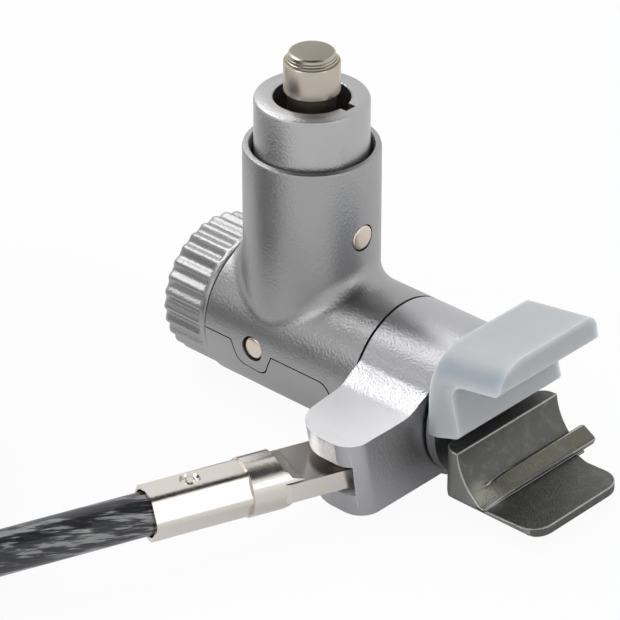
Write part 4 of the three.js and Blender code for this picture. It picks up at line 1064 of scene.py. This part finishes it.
def cylinder_sleeve():
    """The sleeve with its key hole and chamber, the key's notch, and the slot that its pin slides in."""
    sleeve = turned([
        (sleeve_foot, chamber_radius), (sleeve_foot, sleeve_radius), (sleeve_top - 0.38, sleeve_radius),
        (sleeve_top - 0.12, sleeve_radius - 0.12), (sleeve_top, sleeve_radius - 0.36),
        (sleeve_top, key_hole_radius + 0.1), (sleeve_top - 0.1, key_hole_radius),
        (key_hole_floor, key_hole_radius), (key_hole_floor, chamber_radius)], "z", 128)
    slot_half = cylinder_pin_radius + clearance
    notch = block(0, notch_reach, notch_middle - notch_width / 2, notch_middle + notch_width / 2,
                  key_hole_floor, sleeve_top + 1)
    slot = block(sleeve_radius - 0.7, sleeve_radius + 1, -slot_half, slot_half,
                 cylinder_pin_height - slot_half, cylinder_pin_height + press_travel + slot_half)
    return worked(sleeve, ("cut", notch), ("cut", slot))


place_piece("push_in_sleeve", cylinder_sleeve(), bead_blasted("bead_blasted_sleeve", "#b0b0b1", 0.18, 0.34),
            "lock_cylinder", ["cylinder_sleeve"])
post = place_piece("key_post_plug", turned(post_steps, "z", 96),
                   turned_satin("turned_nickel_post", "#b9b0a4", (1, 1, 0), 0.12),
                   "plug", ["key_plug"])
painted(post, turned_satin("turned_nickel_post_top", "#8f897b", (1, 1, 0), 0.2),
        lambda centre, normal: normal.z > 0.9 and centre.z > 29)

# ---------------------------------------------------------------- return spring
# A compression spring of hardened steel wire with squared ends, wound loosely so that it closes to half its
# height. It stands on the housing's floor and pushes the cylinder up.
spring_wire, spring_turns, steps_per_turn = 0.6, 3, 32
spring_low, spring_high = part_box("return_spring")
spring_radius = (spring_high.x - spring_low.x) / 2 / MM - spring_wire / 2
spring_height = (spring_high.z - spring_low.z) / MM
spring_foot = spring_low.z / MM - HEAD_CENTRE.z + spring_wire / 2
coils = []
for step in range(spring_turns * steps_per_turn + 1):
    angle = 2 * pi * step / steps_per_turn
    climb = (step - steps_per_turn / 2) / ((spring_turns - 1) * steps_per_turn)
    coils.append(Vector((spring_radius * cos(angle), spring_radius * sin(angle),
                         spring_foot + (spring_height - spring_wire) * min(max(climb, 0), 1))))
spring = place_piece("return_spring_wire", tube_mesh("return_spring", coils, spring_wire / 2, 12),
                     machined("oiled_spring_steel", "#7f8184", 1.0, 0.3), "head", ["return_spring"])
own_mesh(spring)

# ---------------------------------------------------------------- floor and light
# White paper in a white room, with soft boxes behind, right and left. Two black flags hang over the lock and
# off its left, as round any bright metal in a studio, and draw the dark bands along its round pieces.
floor_white, room_white = 0.94, 0.75
# the painted shade on the paper for mirrors: its middle, the reach of its deepest part, and where it ends
shaded_middle, shaded_to, lit_from = (0.03, 0.012, 0), 0.02, 0.07


def share_seen(tree, by_camera, by_mirrors):
    """How much of its white a surface shows: one share to the camera, one to mirrors and clear pieces."""
    ray = add(tree, "LightPath").outputs
    mirrors = maths(tree, "MAXIMUM", ray["Is Glossy Ray"], ray["Is Transmission Ray"])
    mirrored = maths(tree, "MULTIPLY", mirrors, by_mirrors)
    return maths(tree, "MULTIPLY_ADD", ray["Is Camera Ray"], by_camera, mirrored)


def flat_panel(name, width, depth, place, material):
    """A level sheet in the studio."""
    mesh = bpy.data.meshes.new(name)
    x, y = width / 2, depth / 2
    mesh.from_pydata([(-x, -y, 0), (x, -y, 0), (x, y, 0), (-x, y, 0)], [], [(0, 1, 2, 3)])
    mesh.materials.append(material)
    panel = bpy.data.objects.new(name, mesh)
    panel.location = place
    scene.collection.objects.link(panel)
    return panel


def soft_box(name, azimuth, elevation, distance, width, height, brightness):
    """A soft box that faces the frame's middle, as bright as `brightness` times white. Azimuth runs from +X
    towards +Y, both angles in degrees, sizes in metres."""
    lamp = bpy.data.lights.new(name, "AREA")
    lamp.shape, lamp.size, lamp.size_y = "RECTANGLE", width, height
    lamp.energy = brightness * pi * width * height
    box = bpy.data.objects.new(name, lamp)
    across = distance * cos(radians(elevation))
    box.location = (across * cos(radians(azimuth)), across * sin(radians(azimuth)),
                    distance * sin(radians(elevation)))
    box.rotation_euler = (-box.location).to_track_quat("-Z", "Y").to_euler()
    scene.collection.objects.link(box)


paper, tree = new_material("matt_white_paper")
# painted shade: the white that mirrors see fades next to the lock, so its metal mirrors the paper darker
# there
lit = ranged(tree, distance_from(tree, shaded_middle), shaded_to, lit_from, 0.15, 0.85, "SMOOTHSTEP")
surface(tree, add(tree, "MixShader", sockets={
    0: share_seen(tree, floor_white, lit),
    1: add(tree, "BsdfDiffuse", sockets={"Color": (0.8, 0.8, 0.8, 1)}),
    2: add(tree, "Emission", sockets={"Color": (1, 1, 1, 1), "Strength": 1.0})}))
flat_panel("floor", 6, 6, (0, 0, -0.0001), paper)

velvet, tree = new_material("black_velvet")
surface(tree, add(tree, "BsdfDiffuse", sockets={"Color": (0.01, 0.01, 0.01, 1)}))
for flag in (flat_panel("overhead_flag", 0.9, 0.7, (0.1, -0.12, 0.6), velvet),
             flat_panel("left_flag", 0.5, 0.56, (-0.42, -0.6, 0.6), velvet)):
    flag.visible_camera = flag.visible_diffuse = flag.visible_shadow = False

world = bpy.data.worlds.new("studio")
scene.world = world
world.use_nodes = True
tree = world.node_tree
tree.nodes.clear()
room = add(tree, "Background", sockets={"Color": (room_white, room_white, room_white, 1), "Strength": 1.0})
white = add(tree, "Background", sockets={"Color": (1, 1, 1, 1), "Strength": 1.0})
mix = add(tree, "MixShader", sockets={0: share_seen(tree, 1, 1), 1: room, 2: white})
add(tree, "OutputWorld", sockets={"Surface": mix})

soft_box("box_behind", 182, 50, 1.0, 0.84, 0.4, 3.6)
soft_box("box_right", 4, 24, 0.8, 0.16, 0.24, 1.7)
soft_box("box_left", -104, 26, 0.8, 0.3, 0.4, 1.9)
scene.view_settings.view_transform = "Standard"
